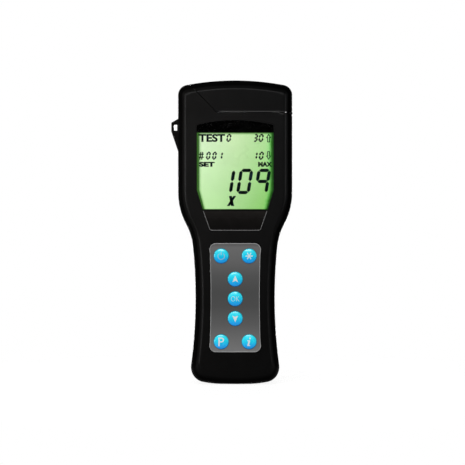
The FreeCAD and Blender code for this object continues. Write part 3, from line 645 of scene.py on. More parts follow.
inkFinish = grainedFinish("segmentInk", (0.0015, 0.010, 0.014), (0.002, 0.016, 0.022), (0.5, 0.6), 1.0, 0.002,
                          specular=0.1)
blackSettings = {"dark": grey(0.0006), "light": grey(0.0009), "rough": (0.25, 0.32), "specular": 0.05}
printBlack = grainedFinish("printBlack", grainPerMm=1.0, grainDeep=0.002, **blackSettings)
bleedSettings = {
    "from": 0.985,
    "to": 1.12,
    "cloudPerMetre": 900,
    "stops": [
        (0.0, (0.045, 0.14, 0.025)),
        (0.35, (0.012, 0.085, 0.012)),
        (0.7, (0.002, 0.02, 0.003)),
        (1.0, grey(0.0)),
    ],
}


# The black print round the display, into which its green light bleeds a little on the right side
def printFinish(settings, black):
    finish, tree, shader, place = newFinish("windowPrint")
    cloud = speckle(tree, place, settings["cloudPerMetre"])
    outward = spread(tree, sideShare(tree, place, displaySettings), settings["from"], settings["to"],
                     0.0, 1.0)
    low, high = displaySettings["lowZ"] * mm, displaySettings["topZ"] * mm
    beside = worked(tree, "COMPARE", axisValue(tree, place, "Z"), (low + high) / 2, (high - low) / 2)
    feed(tree, shader, {
        "Base Color": shades(tree, cloud, black["dark"], black["light"]),
        "Roughness": uneven(tree, cloud, *black["rough"]),
        "Specular IOR Level": black["specular"],
        "Emission Color": ramp(tree, outward, settings["stops"]),
        "Emission Strength": beside,
    })
    return finish


windowBlack = printFinish(bleedSettings, blackSettings)


# Bare glossy black plate under the display, with painted light and shade: lighter at its upper edge, darker
# towards the lower one
plateSettings = {
    "stops": [(0.0, (0.0055, 0.0050, 0.0047)), (0.5, (0.0085, 0.0078, 0.0073)),
              (1.0, (0.0165, 0.0148, 0.0140))],
    "rough": (0.12, 0.2),
    "specular": 0.35,
    "cloudPerMetre": 200,
    "relief": (0.2, 0.002),
}

# What the clouds in a glossy finish leave of its colour where they are darkest
veilDark = grey(0.9)


def plateFinish(settings):
    finish, tree, shader, place = newFinish("plateGloss")
    cloud = speckle(tree, place, settings["cloudPerMetre"], 3.0)
    # Painted light and shade: the plate's black is lighter towards its upper edge
    blackWithPaintedShading = ramp(tree, shareOfHeight(tree, place, "name_plate"), settings["stops"])
    feed(tree, shader, {
        "Base Color": product(tree, blackWithPaintedShading, shades(tree, cloud, veilDark, grey(1.0))),
        "Roughness": uneven(tree, cloud, *settings["rough"]),
        "Specular IOR Level": settings["specular"],
    })
    bump(tree, shader, cloud, *settings["relief"])
    return finish


# Light silver of the two thin bands round the plate and the panel: painted highlights of their edges
paintedOutlineHighlight = grainedFinish("paintedOutlineHighlight", grey(0.22), grey(0.30), (0.25, 0.4), 2.0, 0.004, metal=0.7)
paintedPanelEdgeHighlight = grainedFinish("paintedPanelEdgeHighlight", grey(0.44), grey(0.54), (0.35, 0.5), 2.0, 0.004, metal=0.6)


# Keys: translucent blue, with painted light and shade: deeper blue at the foot of each cap, light cyan
# towards its head as if lit from above, dark again at its top edge, and a painted glow in their own blue
keyFinishSettings = {
    # Painted shade and highlight by height on each cap
    "stops": [
        (0.0, (0.002, 0.08, 0.30)),
        (0.06, (0.002, 0.26, 0.76)),
        (0.25, (0.004, 0.37, 0.87)),
        (0.5, (0.012, 0.61, 0.86)),
        (0.8, (0.03, 0.78, 0.93)),
        (0.94, (0.04, 0.62, 0.85)),
        (1.0, (0.005, 0.18, 0.40)),
    ],
    "rough": (0.2, 0.3),
    "coat": 0.5,
    "coatRough": 0.08,
    "cloudPerMetre": 500,
    "relief": (0.2, 0.004),
    # Painted glow: the keys give off a little of their blue, though they are no lamp
    "glow": 0.22,
}


def keyFinish(settings):
    finish, tree, shader, place = newFinish("keyBlue")
    own = tree.nodes.new("ShaderNodeTexCoord").outputs["Generated"]
    upwards = ramp(tree, axisValue(tree, own, "Z"), settings["stops"])
    cloud = speckle(tree, place, settings["cloudPerMetre"])
    blueWithPaintedLight = product(tree, upwards, shades(tree, cloud, veilDark, grey(1.0)))
    feed(tree, shader, {
        "Base Color": blueWithPaintedLight,
        "Emission Color": blueWithPaintedLight,
        "Emission Strength": settings["glow"],
        "Roughness": uneven(tree, cloud, *settings["rough"]),
        "Coat Weight": settings["coat"],
        "Coat Roughness": settings["coatRough"],
    })
    bump(tree, shader, cloud, *settings["relief"])
    return finish


keyBlue = keyFinish(keyFinishSettings)
signWhite = grainedFinish("signWhite", grey(0.80), grey(0.9), (0.4, 0.5), 1.5, 0.004, specular=0.3)
signSoft = grainedFinish("signSoft", (0.62, 0.74, 0.82), (0.70, 0.82, 0.88), (0.4, 0.5), 1.5, 0.004,
                         specular=0.3)
signPale = grainedFinish("signPale", (0.30, 0.52, 0.66), (0.36, 0.58, 0.72), (0.4, 0.5), 1.5, 0.004,
                         specular=0.3)

finishOfNode = {
    "front_shell": casePlastic, "rear_shell": casePlastic, "battery_door": casePlastic,
    "lid_cover": lidPlastic, "lid_liner": innerPlastic, "deck": innerPlastic,
    "battery_cradle": innerPlastic, "well_tube": wellPlastic, "case_seal": softBlack,
    "lid_seal": softBlack, "well_buffer": softBlack, "detector_seal": softBlack, "door_pad": softBlack,
    "hinge_pin": darkSteel, "case_screws": brightSteel, "board_screws": brightSteel,
    "lid_magnet": magnetSteel, "deck_magnet": magnetSteel, "display_frame": screenTin,
    "detector_can": screenTin, "photodiode": brightSteel, "battery_contacts": nickelPlate,
    "key_domes": domeMetal, "board_parts": chipBlack, "buzzer": chipBlack,
    "battery_cells": cellWrap(cellSettings), "main_board": boardFinish(boardSettings),
    "display_strips": stripRubber,
    "display_backlight": lightDiffuser, "display_glass": litField(displaySettings),
    "window_lens": lensFinish(lensSettings), "name_plate": plateFinish(plateSettings),
    "keypad_panel": panelFinish(panelSettings),
}
for node, finish in finishOfNode.items():
    for slot in nodes[node].material_slots:
        slot.material = finish
print("finishes given to", len(finishOfNode), "nodes")


# Black print on the lens, round the sight opening
printSettings = {
    "sightHalf": 22.95,
    "sightLowHalf": 19.6,
    "sightShift": 0.12,
    "sightTopZ": 157.3,
    "sightTaperZ": 121.7,
    "sightLowZ": 109.62,
    "sightCornerR": 0.9,
    "lowCornerR": 0.5,
    "edgeRoom": 0.12,
    "taperZ": 121.7,
    "lowHalf": 20.15,
    "arch": 3.0,
    "archSteps": 24,
    "underFront": 0.06,
    "thick": 0.02,
}


def windowPrint(settings):
    low, high = boxInMm("window_lens")
    half = high[0] - settings["edgeRoom"]
    lowHalf = settings["lowHalf"] - settings["edgeRoom"]
    lowZ = low[2] + settings["edgeRoom"]
    topZ = high[2] - settings["edgeRoom"]
    outer = [(-half, settings["taperZ"]), (-lowHalf, lowZ), (lowHalf, lowZ), (half, settings["taperZ"])]
    archR = (half ** 2 + settings["arch"] ** 2) / (2 * settings["arch"])
    steps = settings["archSteps"]
    for step in range(steps + 1):
        x = half - 2 * half * step / steps
        outer.append((x, topZ - archR + math.sqrt(archR ** 2 - x ** 2)))
    sight = [
        (settings["sightHalf"], settings["sightTopZ"], settings["sightCornerR"]),
        (settings["sightHalf"], settings["sightTaperZ"], 0),
        (settings["sightLowHalf"], settings["sightLowZ"], settings["lowCornerR"]),
    ]
    sight += [(-x, z, r) for x, z, r in reversed(sight)]
    inner = roundedLoop([(x + settings["sightShift"], z) for x, z, r in sight], [r for x, z, r in sight])
    y = low[1] + settings["underFront"]
    piece = sheetWithHole("lens_print", outer, inner, y, settings["thick"], windowBlack, "case")
    return piece


windowPrint(printSettings)
print("lens print laid")


# Numbers and marks on the display. A row is its low and high z, then digits with their left and right edges
readingSettings = {
    "thick": 0.02,
    "slant": 0.16,
    "rows": [
        {"z": (119.0, 134.9), "stroke": 2.1, "gap": 0.1,
         "digits": [("1", -4.1, -2.1), ("0", 0.4, 9.0), ("9", 11.5, 20.1)]},
        {"z": (151.6, 156.7), "stroke": 1.05, "gap": 0.05,
         "digits": [("0", -5.8, -2.9), ("3", 11.0, 13.8), ("0", 14.3, 17.3)]},
        {"z": (140.5, 145.6), "stroke": 1.05, "gap": 0.05,
         "digits": [("0", -18.5, -15.8), ("0", -14.7, -12.0), ("1", -9.1, -8.2), ("1", 12.6, 13.5),
                    ("0", 14.5, 17.4)]},
    ],
    "arrows": [(19.2, 22.5, 151.4, 156.8, True), (19.2, 22.5, 140.3, 145.8, False)],
    "arrowStroke": 0.5,
    "arrowNeck": 0.25,
    "hash": (-22.6, -19.7, 140.6, 145.4),
    "hashStroke": 0.7,
    "hashLean": 0.12,
    "hashBars": (0.3, 0.7),
    "cross": {"z": (111.6, 117.9), "rising": (-5.2, -3.4, -1.2, 0.6), "falling": (-2.6, -0.6, -3.9, -2.1)},
    "words": [("TEST", -22.9, 151.6, 16.6, 5.0, 0.04), ("SET", -22.6, 136.1, 9.8, 3.1, 0.06),
              ("MAX", 14.3, 136.1, 8.8, 3.1, 0.06)],
}
segmentsOfDigit = {"0": "abcdef", "1": "bc", "3": "abcdg", "9": "abcfg"}


# One slanted seven-segment digit, each segment a long hexagon
def segmentShapes(digit, x0, x1, z0, z1, stroke, gap, slant):
    h = stroke / 2
    left, right, low, high = x0 + h, x1 - h, z0 + h, z1 - h
    middle = (low + high) / 2
    lines = {
        "a": ((left, high), (right, high)), "b": ((right, middle), (right, high)),
        "c": ((right, low), (right, middle)), "d": ((left, low), (right, low)),
        "e": ((left, low), (left, middle)), "f": ((left, middle), (left, high)),
        "g": ((left, middle), (right, middle)),
    }
    shapes = []
    for letter in segmentsOfDigit[digit]:
        (ax, az), (bx, bz) = lines[letter]
        if az == bz:
            ax, bx = ax + gap, bx - gap
            shape = [(ax, az), (ax + h, az - h), (bx - h, az - h),
                     (bx, az), (bx - h, az + h), (ax + h, az + h)]
        else:
            az, bz = az + gap, bz - gap
            shape = [(ax, az), (ax + h, az + h), (ax + h, bz - h),
                     (ax, bz), (ax - h, bz - h), (ax - h, az + h)]
        shapes.append([(x + slant * (z - z0), z) for x, z in shape])
    return shapes


# A stroke of even width along a closed line, as one four-cornered piece per side. The last value keeps sharp
# corners from reaching too far
def strokeShapes(path, width, leastTurn=0.35):
    count = len(path)
    inner = []
    for i in range(count):
        before = (Vector(path[i]) - Vector(path[i - 1])).normalized()
        after = (Vector(path[(i + 1) % count]) - Vector(path[i])).normalized()
        side = Vector((-before.y - after.y, before.x + after.x)).normalized()
        reach = width / max(leastTurn, side.dot(Vector((-after.y, after.x))))
        inner.append(Vector(path[i]) + side * reach)
    return [[path[i - 1], path[i], tuple(inner[i]), tuple(inner[i - 1])] for i in range(count)]


# An arrow drawn as an outline, its corners counted so that the stroke falls inside
def arrowShapes(x0, x1, z0, z1, up, stroke, neckShare):
    middle = (x0 + x1) / 2
    neck = (x1 - x0) * neckShare
    bend = (z0 + z1) / 2
    path = [(middle - neck, z0), (middle + neck, z0), (middle + neck, bend), (x1, bend), (middle, z1),
            (x0, bend), (middle - neck, bend)]
    if not up:
        path = [(x, z0 + z1 - z) for x, z in reversed(path)]
    return strokeShapes(path, stroke)


def hashShapes(x0, x1, z0, z1, stroke, leanShare, bars):
    shapes = []
    lean = (x1 - x0) * leanShare
    half = stroke / 2
    for share in bars:
        x = x0 + (x1 - x0) * share
        shapes.append([(x - half - lean, z0), (x + half - lean, z0), (x + half + lean, z1),
                       (x - half + lean, z1)])
        z = z0 + (z1 - z0) * share
        shapes.append(rectangle(x0, x1, z - half, z + half))
    return shapes


# A slanted cross: each bar is given by its foot's and its head's left and right edges
def crossShapes(settings):
    low, high = settings["z"]
    shapes = []
    for a, b, c, d in (settings["rising"], settings["falling"]):
        shapes.append([(a, low), (b, low), (d, high), (c, high)])
    return shapes


# Letters of the built-in face, as flat mesh points (x, z) and faces
def letterMesh(words, lean, weight, curveSteps=4):
    curve = bpy.data.curves.new("letters", "FONT")
    curve.body = words
    curve.shear = lean
    curve.offset = weight
    curve.resolution_u = curveSteps
    holder = bpy.data.objects.new("letters", curve)
    mesh = bpy.data.meshes.new_from_object(holder)
    points = [(p.co.x, p.co.y) for p in mesh.vertices]
    faces = [list(f.vertices) for f in mesh.polygons]
    bpy.data.objects.remove(holder)
    bpy.data.curves.remove(curve)
    bpy.data.meshes.remove(mesh)
    return points, faces


def fitted(points, x0, z0, wide, high):
    lowX = min(x for x, z in points)
    highX = max(x for x, z in points)
    lowZ = min(z for x, z in points)
    highZ = max(z for x, z in points)
    moved = []
    for x, z in points:
        moved.append((x0 + (x - lowX) / (highX - lowX) * wide, z0 + (z - lowZ) / (highZ - lowZ) * high))
    return moved


def wordPiece(name, words, x0, z0, wide, high, weight, y, thick, material, body):
    points, faces = letterMesh(words, 0.0, weight)
    work = bmesh.new()
    verts = [work.verts.new((x * mm, y * mm, z * mm)) for x, z in fitted(points, x0, z0, wide, high)]
    for face in faces:
        work.faces.new([verts[i] for i in face])
    thicken(work, (0, thick * mm, 0))
    return meshObject(name, work, material, body, smooth=False)


def reading(settings):
    low = boxInMm("display_glass")[0]
    thick = settings["thick"]
    y = low[1] - thick
    shapes = []
    for row in settings["rows"]:
        for digit, x0, x1 in row["digits"]:
            shapes += segmentShapes(digit, x0, x1, *row["z"], row["stroke"], row["gap"], settings["slant"])
    for arrow in settings["arrows"]:
        shapes += arrowShapes(*arrow, settings["arrowStroke"], settings["arrowNeck"])
    shapes += hashShapes(*settings["hash"], settings["hashStroke"], settings["hashLean"],
                         settings["hashBars"])
    shapes += crossShapes(settings["cross"])
    pieces = [flatPiece("display_marks", shapes, y, thick, inkFinish, "case")]
    for i, word in enumerate(settings["words"]):
        pieces.append(wordPiece("display_word_" + str(i), *word, y, thick, inkFinish, "case"))


reading(readingSettings)
print("display reading drawn")


# Light outline of the bare plate under the window: a thin raised band whose light silver colour is a painted
# highlight of the plate's edge
plateLineSettings = {
    "width": 0.42,
    "rise": 0.03,
    "inset": 0.3,
    "topInset": 0.1,
    "topHalf": 20.15,
    "lowHalf": 15.9,
    "cornerR": 2.0,
}


def plateLine(settings):
    low, high = boxInMm("name_plate")
    inset = settings["inset"]
    topHalf = settings["topHalf"] - inset
    lowHalf = settings["lowHalf"] - inset
    topZ, lowZ = high[2] - settings["topInset"], low[2] + inset
    corners = [(-topHalf, topZ), (-lowHalf, lowZ), (lowHalf, lowZ), (topHalf, topZ)]
    radius = settings["cornerR"] - inset
    path = [corners[0]] + cornerArc(*corners[:3], radius) + cornerArc(*corners[1:], radius) + [corners[3]]
    piece = band("plate_line", path, settings["width"], low[1], settings["rise"], False, paintedOutlineHighlight,
                 "case")


plateLine(plateLineSettings)


# The small bright stud at the right end of the lid's seam: a steel dot that stands in for the glint where the
# seam meets the front's edge, a painted highlight
glintStudSettings = {"x": 31.7, "z": 170.1, "y": -14.4, "r": 0.45, "high": 0.42, "steps": 6, "sides": 24}


def seamStud(settings):
    work = bmesh.new()
    profile = []
    for step in range(settings["steps"] + 1):
        angle = math.pi / 2 * step / settings["steps"]
        profile.append((settings["r"] * math.sin(angle), settings["y"] - settings["high"] * math.cos(angle)))
    profile += [(settings["r"], settings["y"] + settings["high"]), (0.0, settings["y"] + settings["high"])]
    turnedRings(work, profile, settings["x"], settings["z"], settings["sides"])
    piece = meshObject("seam_stud", work, brightSteel, "case")


seamStud(glintStudSettings)


# Soft strip in the slanted part of the lid's seam, on the case: it shuts out the light that would pass
# through the gap. Its corners are counted along the slant from the bend, and in depth
stripSettings = {
    "bend": (-11.6, 170.0),
    "bendR": 3.0,
    "slantDegrees": 46.0,
    "thick": 0.46,
    "corners": [(0.0, -14.0), (18.8, -13.4), (23.3, -0.5), (23.3, 9.0), (21.8, 12.0), (0.0, 15.0)],
}


def seamStrip(settings):
    angle = math.radians(settings["slantDegrees"])
    along = Vector((-math.cos(angle), 0, math.sin(angle)))
    across = Vector((math.sin(angle), 0, math.cos(angle)))
    bendX, bendZ = settings["bend"]
    bendR = settings["bendR"]
    startX = bendX + bendR * math.tan(angle / 2) - bendR * math.sin(angle)
    startZ = bendZ + bendR - bendR * math.cos(angle)
    work = bmesh.new()
    verts = []
    for reach, y in settings["corners"]:
        place = Vector((startX, y, startZ)) + along * reach - across * settings["thick"] / 2
        verts.append(work.verts.new(place * mm))
    work.faces.new(verts)
    thicken(work, across * settings["thick"] * mm)
    piece = meshObject("seam_strip", work, softBlack, "case", smooth=False)


seamStrip(stripSettings)


# Cross recesses of the screws: a thin slotted face on each head
screwSettings = {"rim": 0.12, "thick": 0.35, "armHalf": 0.32, "armReach": 0.62, "steps": 36}


# Boxes of the separate solids in one node, in millimetres
def solidBoxes(node, weld=1e-7):
    work = bmesh.new()
    work.from_mesh(nodes[node].data)
    bmesh.ops.remove_doubles(work, verts=work.verts[:], dist=weld)
    place = nodes[node].matrix_world
    seen = set()
    boxes = []
    for start in work.verts:
        if start in seen:
            continue
        seen.add(start)
        waiting = [start]
        points = []
        while waiting:
            vert = waiting.pop()
            points.append(place @ vert.co / mm)
            for edge in vert.link_edges:
                other = edge.other_vert(vert)
                if other not in seen:
                    seen.add(other)
                    waiting.append(other)
        low = [min(p[i] for p in points) for i in range(3)]
        high = [max(p[i] for p in points) for i in range(3)]
        boxes.append((low, high))
    work.free()
    return boxes


def screwFaces(node, settings):
    for i, (low, high) in enumerate(solidBoxes(node)):
        x, z = centreOf(low, high)
        radius = (high[0] - low[0]) / 2
        outer = []
        for step in range(settings["steps"]):
            angle = 2 * math.pi * step / settings["steps"]
            outer.append((x + (radius - settings["rim"]) * math.cos(angle),
                          z + (radius - settings["rim"]) * math.sin(angle)))
        a, b = settings["armHalf"], settings["armReach"] * radius
        cross = [(a, a), (a, b), (-a, b), (-a, a), (-b, a), (-b, -a), (-a, -a), (-a, -b), (a, -b), (a, -a),
                 (b, -a), (b, a)]
        inner = [(x + u, z + v) for u, v in cross]
        face = sheetWithHole(node + "_face_" + str(i), outer, inner, high[1], settings["thick"], brightSteel,
                             "case")


for screws in ("case_screws", "board_screws"):
    screwFaces(screws, screwSettings)
print("stud and screw faces made")


# A plus and a minus on each cell, towards the battery door
markSettings = {"arm": 1.6, "stroke": 0.5, "fromEnd": 7.0, "sunk": 0.06, "thick": 0.1}


def cellMarks(settings):
    low, high = boxInMm("battery_cells")
    arm, half = settings["arm"], settings["stroke"] / 2
    quarter = (high[0] - low[0]) / 4
    lowZ, topZ = low[2] + settings["fromEnd"], high[2] - settings["fromEnd"]
    shapes = []
    for x, plusZ, minusZ in ((low[0] + quarter, topZ, lowZ), (high[0] - quarter, lowZ, topZ)):
        shapes.append(rectangle(x - arm, x + arm, plusZ - half, plusZ + half))
        shapes.append(rectangle(x - half, x + half, plusZ - arm, plusZ + arm))
        shapes.append(rectangle(x - arm, x + arm, minusZ - half, minusZ + half))
    piece = flatPiece("cell_marks", shapes, high[1] - settings["sunk"], settings["thick"], signWhite, "case")


cellMarks(markSettings)


# Dark border that rounds the corners of the keypad panel's print, and inside it a thin raised band whose
# light silver colour is a painted highlight of the panel's bevelled edge
panelLineSettings = {
    "width": 0.42,
    "rise": 0.04,
    "inset": 0.24,
    "half": 16.1,
    "waistHalf": 15.3,
    "cornerR": 2.6,
    "printCornerR": 3.7,
    "borderInset": 0.02,
    "borderThick": 0.02,
    "steps": 28,
}


def panelPath(settings, inset, cornerR):
    low, high = boxInMm("keypad_panel")
    half = settings["half"] - inset
    bow = settings["half"] - settings["waistHalf"]
    tall = high[2] - low[2]
    middleZ = (high[2] + low[2]) / 2
    lowZ, topZ = low[2] + inset, high[2] - inset
    bowR = (bow ** 2 + (tall / 2) ** 2) / (2 * bow)
    right = []
    for step in range(settings["steps"] + 1):
        z = lowZ + cornerR + (topZ - lowZ - 2 * cornerR) * step / settings["steps"]
        right.append((half - bow + bowR - math.sqrt(bowR ** 2 - (z - middleZ) ** 2), z))
    path = cornerArc((0, lowZ), (half, lowZ), (half, topZ), cornerR)
    path += right[1:-1] + cornerArc((half, lowZ), (half, topZ), (0, topZ), cornerR)
    return path + [(-x, z) for x, z in reversed(path)]


def panelLine(settings):
    low = boxInMm("keypad_panel")[0]
    outer = panelPath(settings, settings["borderInset"], settings["cornerR"])
    inner = panelPath(settings, settings["inset"], settings["printCornerR"])
    thick = settings["borderThick"]
    border = sheetWithHole("panel_border", outer, inner, low[1] - thick, thick, printBlack, "case")
    line = band("panel_line", inner, settings["width"], low[1], settings["rise"], True, paintedPanelEdgeHighlight,
                "case")


panelLine(panelLineSettings)
print("plate and panel edged")


# Keys: a domed cap with a soft rim, and a white sign that lies on the dome
keySettings = {
    "capR": 4.65,
    "crownR": 15.0,
    "edgeR": 0.5,
    "signLift": 0.02,
    "signThick": 0.03,
    "flange": 0.8,
    "flangeR": 5.4,
    "stemR": 1.6,
    "flangeDeep": 3.2,
    "flangeEase": 0.01,
    "crownSteps": 8,
    "edgeSteps": 6,
    "signEdge": 0.5,
    "signCuts": 4,
}


def keyProfile(low, high, settings):
    crownR, edgeR = settings["crownR"], settings["edgeR"]
    flangeY = low[1] + settings["flangeDeep"]
    reach = settings["capR"] - edgeR
    profile = [(0.0, low[1])]
    for step in range(1, settings["crownSteps"] + 1):
        r = reach * step / settings["crownSteps"]
        profile.append((r, crownY(r, 0, low[1], crownR)))
    startY = profile[-1][1]
    tilt = math.asin(reach / crownR)
    for step in range(1, settings["edgeSteps"] + 1):
        angle = tilt + (math.pi / 2 - tilt) * step / settings["edgeSteps"]
        profile.append((reach + edgeR * (math.sin(angle) - math.sin(tilt)),
                        startY + edgeR * (math.cos(tilt) - math.cos(angle))))
    flangeR, stemR, backY = settings["flangeR"], settings["stemR"], flangeY + settings["flange"]
    profile += [(profile[-1][0], flangeY - settings["flangeEase"]), (flangeR, flangeY), (flangeR, backY),
                (stemR, backY), (stemR, high[1]), (0.0, high[1])]
    return profile


def crownY(x, z, top, crownR):
    return top + crownR - math.sqrt(crownR ** 2 - x * x - z * z)


# A sign is drawn flat about the key's centre, cut finely and laid on the dome
def signPiece(name, node, points, faces, material, settings):
    low, high = boxInMm(node)
    centreX, centreZ = centreOf(low, high)
    work = bmesh.new()
    verts = [work.verts.new((x, 0, z)) for x, z in points]
    for face in faces:
        work.faces.new([verts[i] for i in face])
    bmesh.ops.triangulate(work, faces=work.faces[:])
    for cut in range(settings["signCuts"]):
        long = [edge for edge in work.edges if edge.calc_length() > settings["signEdge"]]
        if not long:
            break
        bmesh.ops.subdivide_edges(work, edges=long, cuts=1)
        bmesh.ops.triangulate(work, faces=[face for face in work.faces if len(face.verts) > 3])
    back = set(thicken(work, (0, 0, 0)))
    for vert in work.verts:
        x, z = vert.co.x, vert.co.z
        y = crownY(x, z, low[1], settings["crownR"]) - settings["signLift"]
        if vert in back:
            y += settings["signThick"] + settings["signLift"]
        vert.co = Vector(((centreX + x) * mm, y * mm, (centreZ + z) * mm))
    piece = meshObject(name, work, material, node, smooth=False)
    return piece


def bars(count, reach, stroke, startDegrees):
    points, faces = [], []
    for i in range(count):
        angle = math.radians(startDegrees + 180 / count * i)
        cos, sin = math.cos(angle), math.sin(angle)
        first = len(points)
        for along, off in ((-reach, -stroke), (reach, -stroke), (reach, stroke), (-reach, stroke)):
            points.append((along * cos - off / 2 * sin, along * sin + off / 2 * cos))
        faces.append([first, first + 1, first + 2, first + 3])
    return points, faces


# Sizes of the signs in millimetres
signSettings = {
    "starReach": 2.3,
    "starStroke": 0.52,
    "ringR": (1.85, 2.3),
    "ringOpening": 38.0,
    "ringSteps": 22,
    "ringDrop": 0.1,
    "tick": (0.5, 0.6, 2.6),
    "arrow": (1.75, 2.3, -1.9, -1.05),
    "ok": (5.3, 3.1, 0.0, -0.015),
    "program": (3.5, 5.4, 0.0, 0.0),
    "infoLean": 0.25,
    "infoBars": [(-0.55, 0.45, -2.6, 0.95), (-1.25, -0.55, 0.45, 0.95), (0.45, 1.15, -2.6, -2.1),
                 (-0.5, 0.4, 1.65, 2.6)],
}


# A ring that is open at the top, with a tick in the opening
def powerSign(settings):
    points, faces = [], []
    steps = settings["ringSteps"]
    opening = math.radians(settings["ringOpening"])
    for step in range(steps + 1):
        angle = math.pi / 2 + opening + (2 * math.pi - 2 * opening) * step / steps
        for radius in settings["ringR"]:
            points.append((radius * math.cos(angle), radius * math.sin(angle) - settings["ringDrop"]))
    for step in range(steps):
        first = 2 * step
        faces.append([first, first + 1, first + 3, first + 2])
    first = len(points)
    wide, low, high = settings["tick"]
    points += rectangle(-wide / 2, wide / 2, low, high)
    faces.append([first, first + 1, first + 2, first + 3])
    return points, faces


def arrowSign(up, settings):
    half, tip, foot, notch = settings["arrow"]
    points = [(0.0, tip), (-half, foot), (0.0, notch), (half, foot)]
    if not up:
        points = [(x, -z) for x, z in points]
    return points, [[0, 1, 2], [0, 2, 3]]


def letterSign(words, wide, high, lean, weight):
    points, faces = letterMesh(words, lean, weight)
    return fitted(points, -wide / 2, -high / 2, wide, high), faces


# A leaning i with feet, its dot set apart
def infoSign(settings):
    points, faces = [], []
    for bar in settings["infoBars"]:
        faces.append([len(points) + i for i in range(4)])
        points += [(x + settings["infoLean"] * z, z) for x, z in rectangle(*bar)]
    return points, faces


signOfKey = {
    "key_power": (powerSign(signSettings), signPale),
    "key_star": (bars(3, signSettings["starReach"], signSettings["starStroke"], 0), signWhite),
    "key_up": (arrowSign(True, signSettings), signWhite),
    "key_ok": (letterSign("OK", *signSettings["ok"]), signSoft),
    "key_down": (arrowSign(False, signSettings), signWhite),
    "key_program": (letterSign("P", *signSettings["program"]), signWhite),
    "key_info": (infoSign(signSettings), signWhite),
}


def makeKeys(settings):
    for node, ((points, faces), material) in signOfKey.items():
        low, high = boxInMm(node)
        work = bmesh.new()
        turnedRings(work, keyProfile(low, high, settings), *centreOf(low, high))
        cap = meshObject(node + "_cap", work, keyBlue, node)
        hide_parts(node)
        signPiece(node + "_sign", node, points, faces, material, settings)


makeKeys(keySettings)
print("keys and signs made")


# Floor, light and camera. The floor is white paper on a light table: it glows a little, and fades out into
# the white surroundings
stageSettings = {
    "floorR": 0.5,
    "floorSides": 96,
    "floorDrop": 0.0002,
    "fadeFrom": 0.1,
    "fadeTo": 0.3,
    "floorColours": (grey(0.75), grey(0.8)),
    "floorPerMetre": 300,
    "floorRough": 0.9,
    "floorShine": 0.1,
    "floorGlow": 0.6,
    "floorCover": 0.3,
    "skySeen": 1.0,
    "skyLight": 0.01,
}


def makeFloor(settings):
    work = bmesh.new()
    bmesh.ops.create_circle(work, cap_ends=True, segments=settings["floorSides"], radius=settings["floorR"])
    mesh = bpy.data.meshes.new("floor")
    work.to_mesh(mesh)
    work.free()
    floor = bpy.data.objects.new("floor", mesh)
    floor.location.z = frameBox[0].z - settings["floorDrop"]
    bpy.context.scene.collection.objects.link(floor)
    finish, tree, shader, place = newFinish("floorPaper")
    grain = speckle(tree, place, settings["floorPerMetre"], 3.0)
    distance = tree.nodes.new("ShaderNodeVectorMath")
    distance.operation = "LENGTH"
    feed(tree, distance, {0: place})
    feed(tree, shader, {
        "Base Color": shades(tree, grain, *settings["floorColours"]),
        "Roughness": settings["floorRough"],
        "Specular IOR Level": settings["floorShine"],
        "Emission Color": grey(1.0),
        "Emission Strength": settings["floorGlow"],
        "Alpha": spread(tree, distance.outputs["Value"], settings["fadeFrom"], settings["fadeTo"],
                        settings["floorCover"], 0.0),
    })
    mesh.materials.append(finish)


def makeSky(settings):
    world = bpy.data.worlds.new("studio")
    bpy.context.scene.world = world
    world.use_nodes = True
    tree = world.node_tree
    tree.nodes.clear()
    seen = addNode(tree, "ShaderNodeBackground", {"Color": grey(1.0), "Strength": settings["skySeen"]})
    dim = addNode(tree, "ShaderNodeBackground", {"Color": grey(1.0), "Strength": settings["skyLight"]})
    path = tree.nodes.new("ShaderNodeLightPath")
    choose = addNode(tree, "ShaderNodeMixShader", {
        "Fac": path.outputs["Is Camera Ray"],
        1: dim.outputs["Background"],
        2: seen.outputs["Background"],
    })
    addNode(tree, "ShaderNodeOutputWorld", {"Surface": choose.outputs["Shader"]})


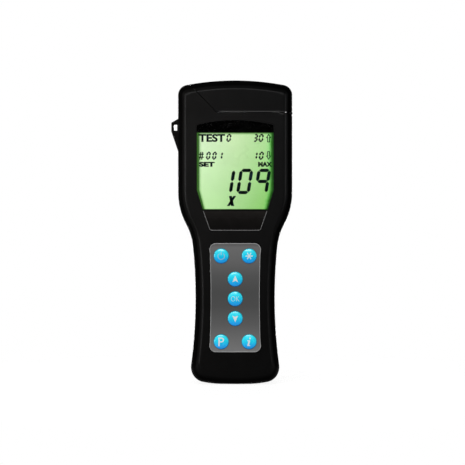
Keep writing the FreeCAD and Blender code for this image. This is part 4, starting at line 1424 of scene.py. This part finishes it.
# Softboxes: place, size and power of each
lightSettings = {
    "frontHigh": {"place": (-0.15, -1.15, 0.85), "size": (0.9, 0.4), "watts": 9.0},
    "left": {"place": (-0.95, -0.75, 0.25), "size": (0.3, 0.9), "watts": 6.0},
    "right": {"place": (0.95, -0.75, 0.25), "size": (0.3, 0.9), "watts": 1.2},
    "above": {"place": (0.0, -0.5, 1.2), "size": (0.6, 0.6), "watts": 1.5},
    "sideLeft": {"place": (-1.35, -0.1, 0.4), "size": (0.4, 0.8), "watts": 2.4},
    "sideRight": {"place": (1.35, -0.1, 0.4), "size": (0.4, 0.8), "watts": 3.6},
    "back": {"place": (0.0, 1.3, 0.15), "size": (0.4, 0.4), "watts": 10.0},
}

lightAim = Vector((0, 0, 0.1))


def makeLights(settings):
    for name, values in settings.items():
        light = bpy.data.lights.new(name, "AREA")
        light.shape = "RECTANGLE"
        light.size, light.size_y = values["size"]
        light.energy = values["watts"]
        lamp = bpy.data.objects.new(name, light)
        bpy.context.scene.collection.objects.link(lamp)
        lamp.location = values["place"]
        aim = lightAim - lamp.location
        lamp.rotation_euler = aim.to_track_quat("-Z", "Y").to_euler()


# The photograph is 465 pixels square, and the object is 302.6 pixels high in it
cameraSettings = {
    "picture": 465,
    "objectHigh": 302.6,
    "centreX": 235.15,
    "footY": 383.1,
    "lens": 150.0,
    "sensor": 36.0,
    "clip": (0.01, 50),
}


def makeCamera(settings):
    low, high = frameBox
    perPixel = (high.z - max(low.z, 0.0)) / settings["objectHigh"]
    camera = bpy.data.cameras.new("camera")
    camera.lens = settings["lens"]
    camera.sensor_width = settings["sensor"]
    middle = settings["picture"] / 2
    eye = bpy.data.objects.new("camera", camera)
    bpy.context.scene.collection.objects.link(eye)
    far = settings["picture"] * perPixel * settings["lens"] / camera.sensor_width
    eye.location = ((middle - settings["centreX"]) * perPixel, -far, (settings["footY"] - middle) * perPixel)
    eye.rotation_euler = (math.radians(90), 0, 0)
    camera.clip_start, camera.clip_end = settings["clip"]
    bpy.context.scene.camera = eye


makeFloor(stageSettings)
makeSky(stageSettings)
makeLights(lightSettings)
makeCamera(cameraSettings)
bpy.context.scene.view_settings.view_transform = "Standard"
bpy.context.scene.view_settings.look = "None"
print("stage, light and camera set")
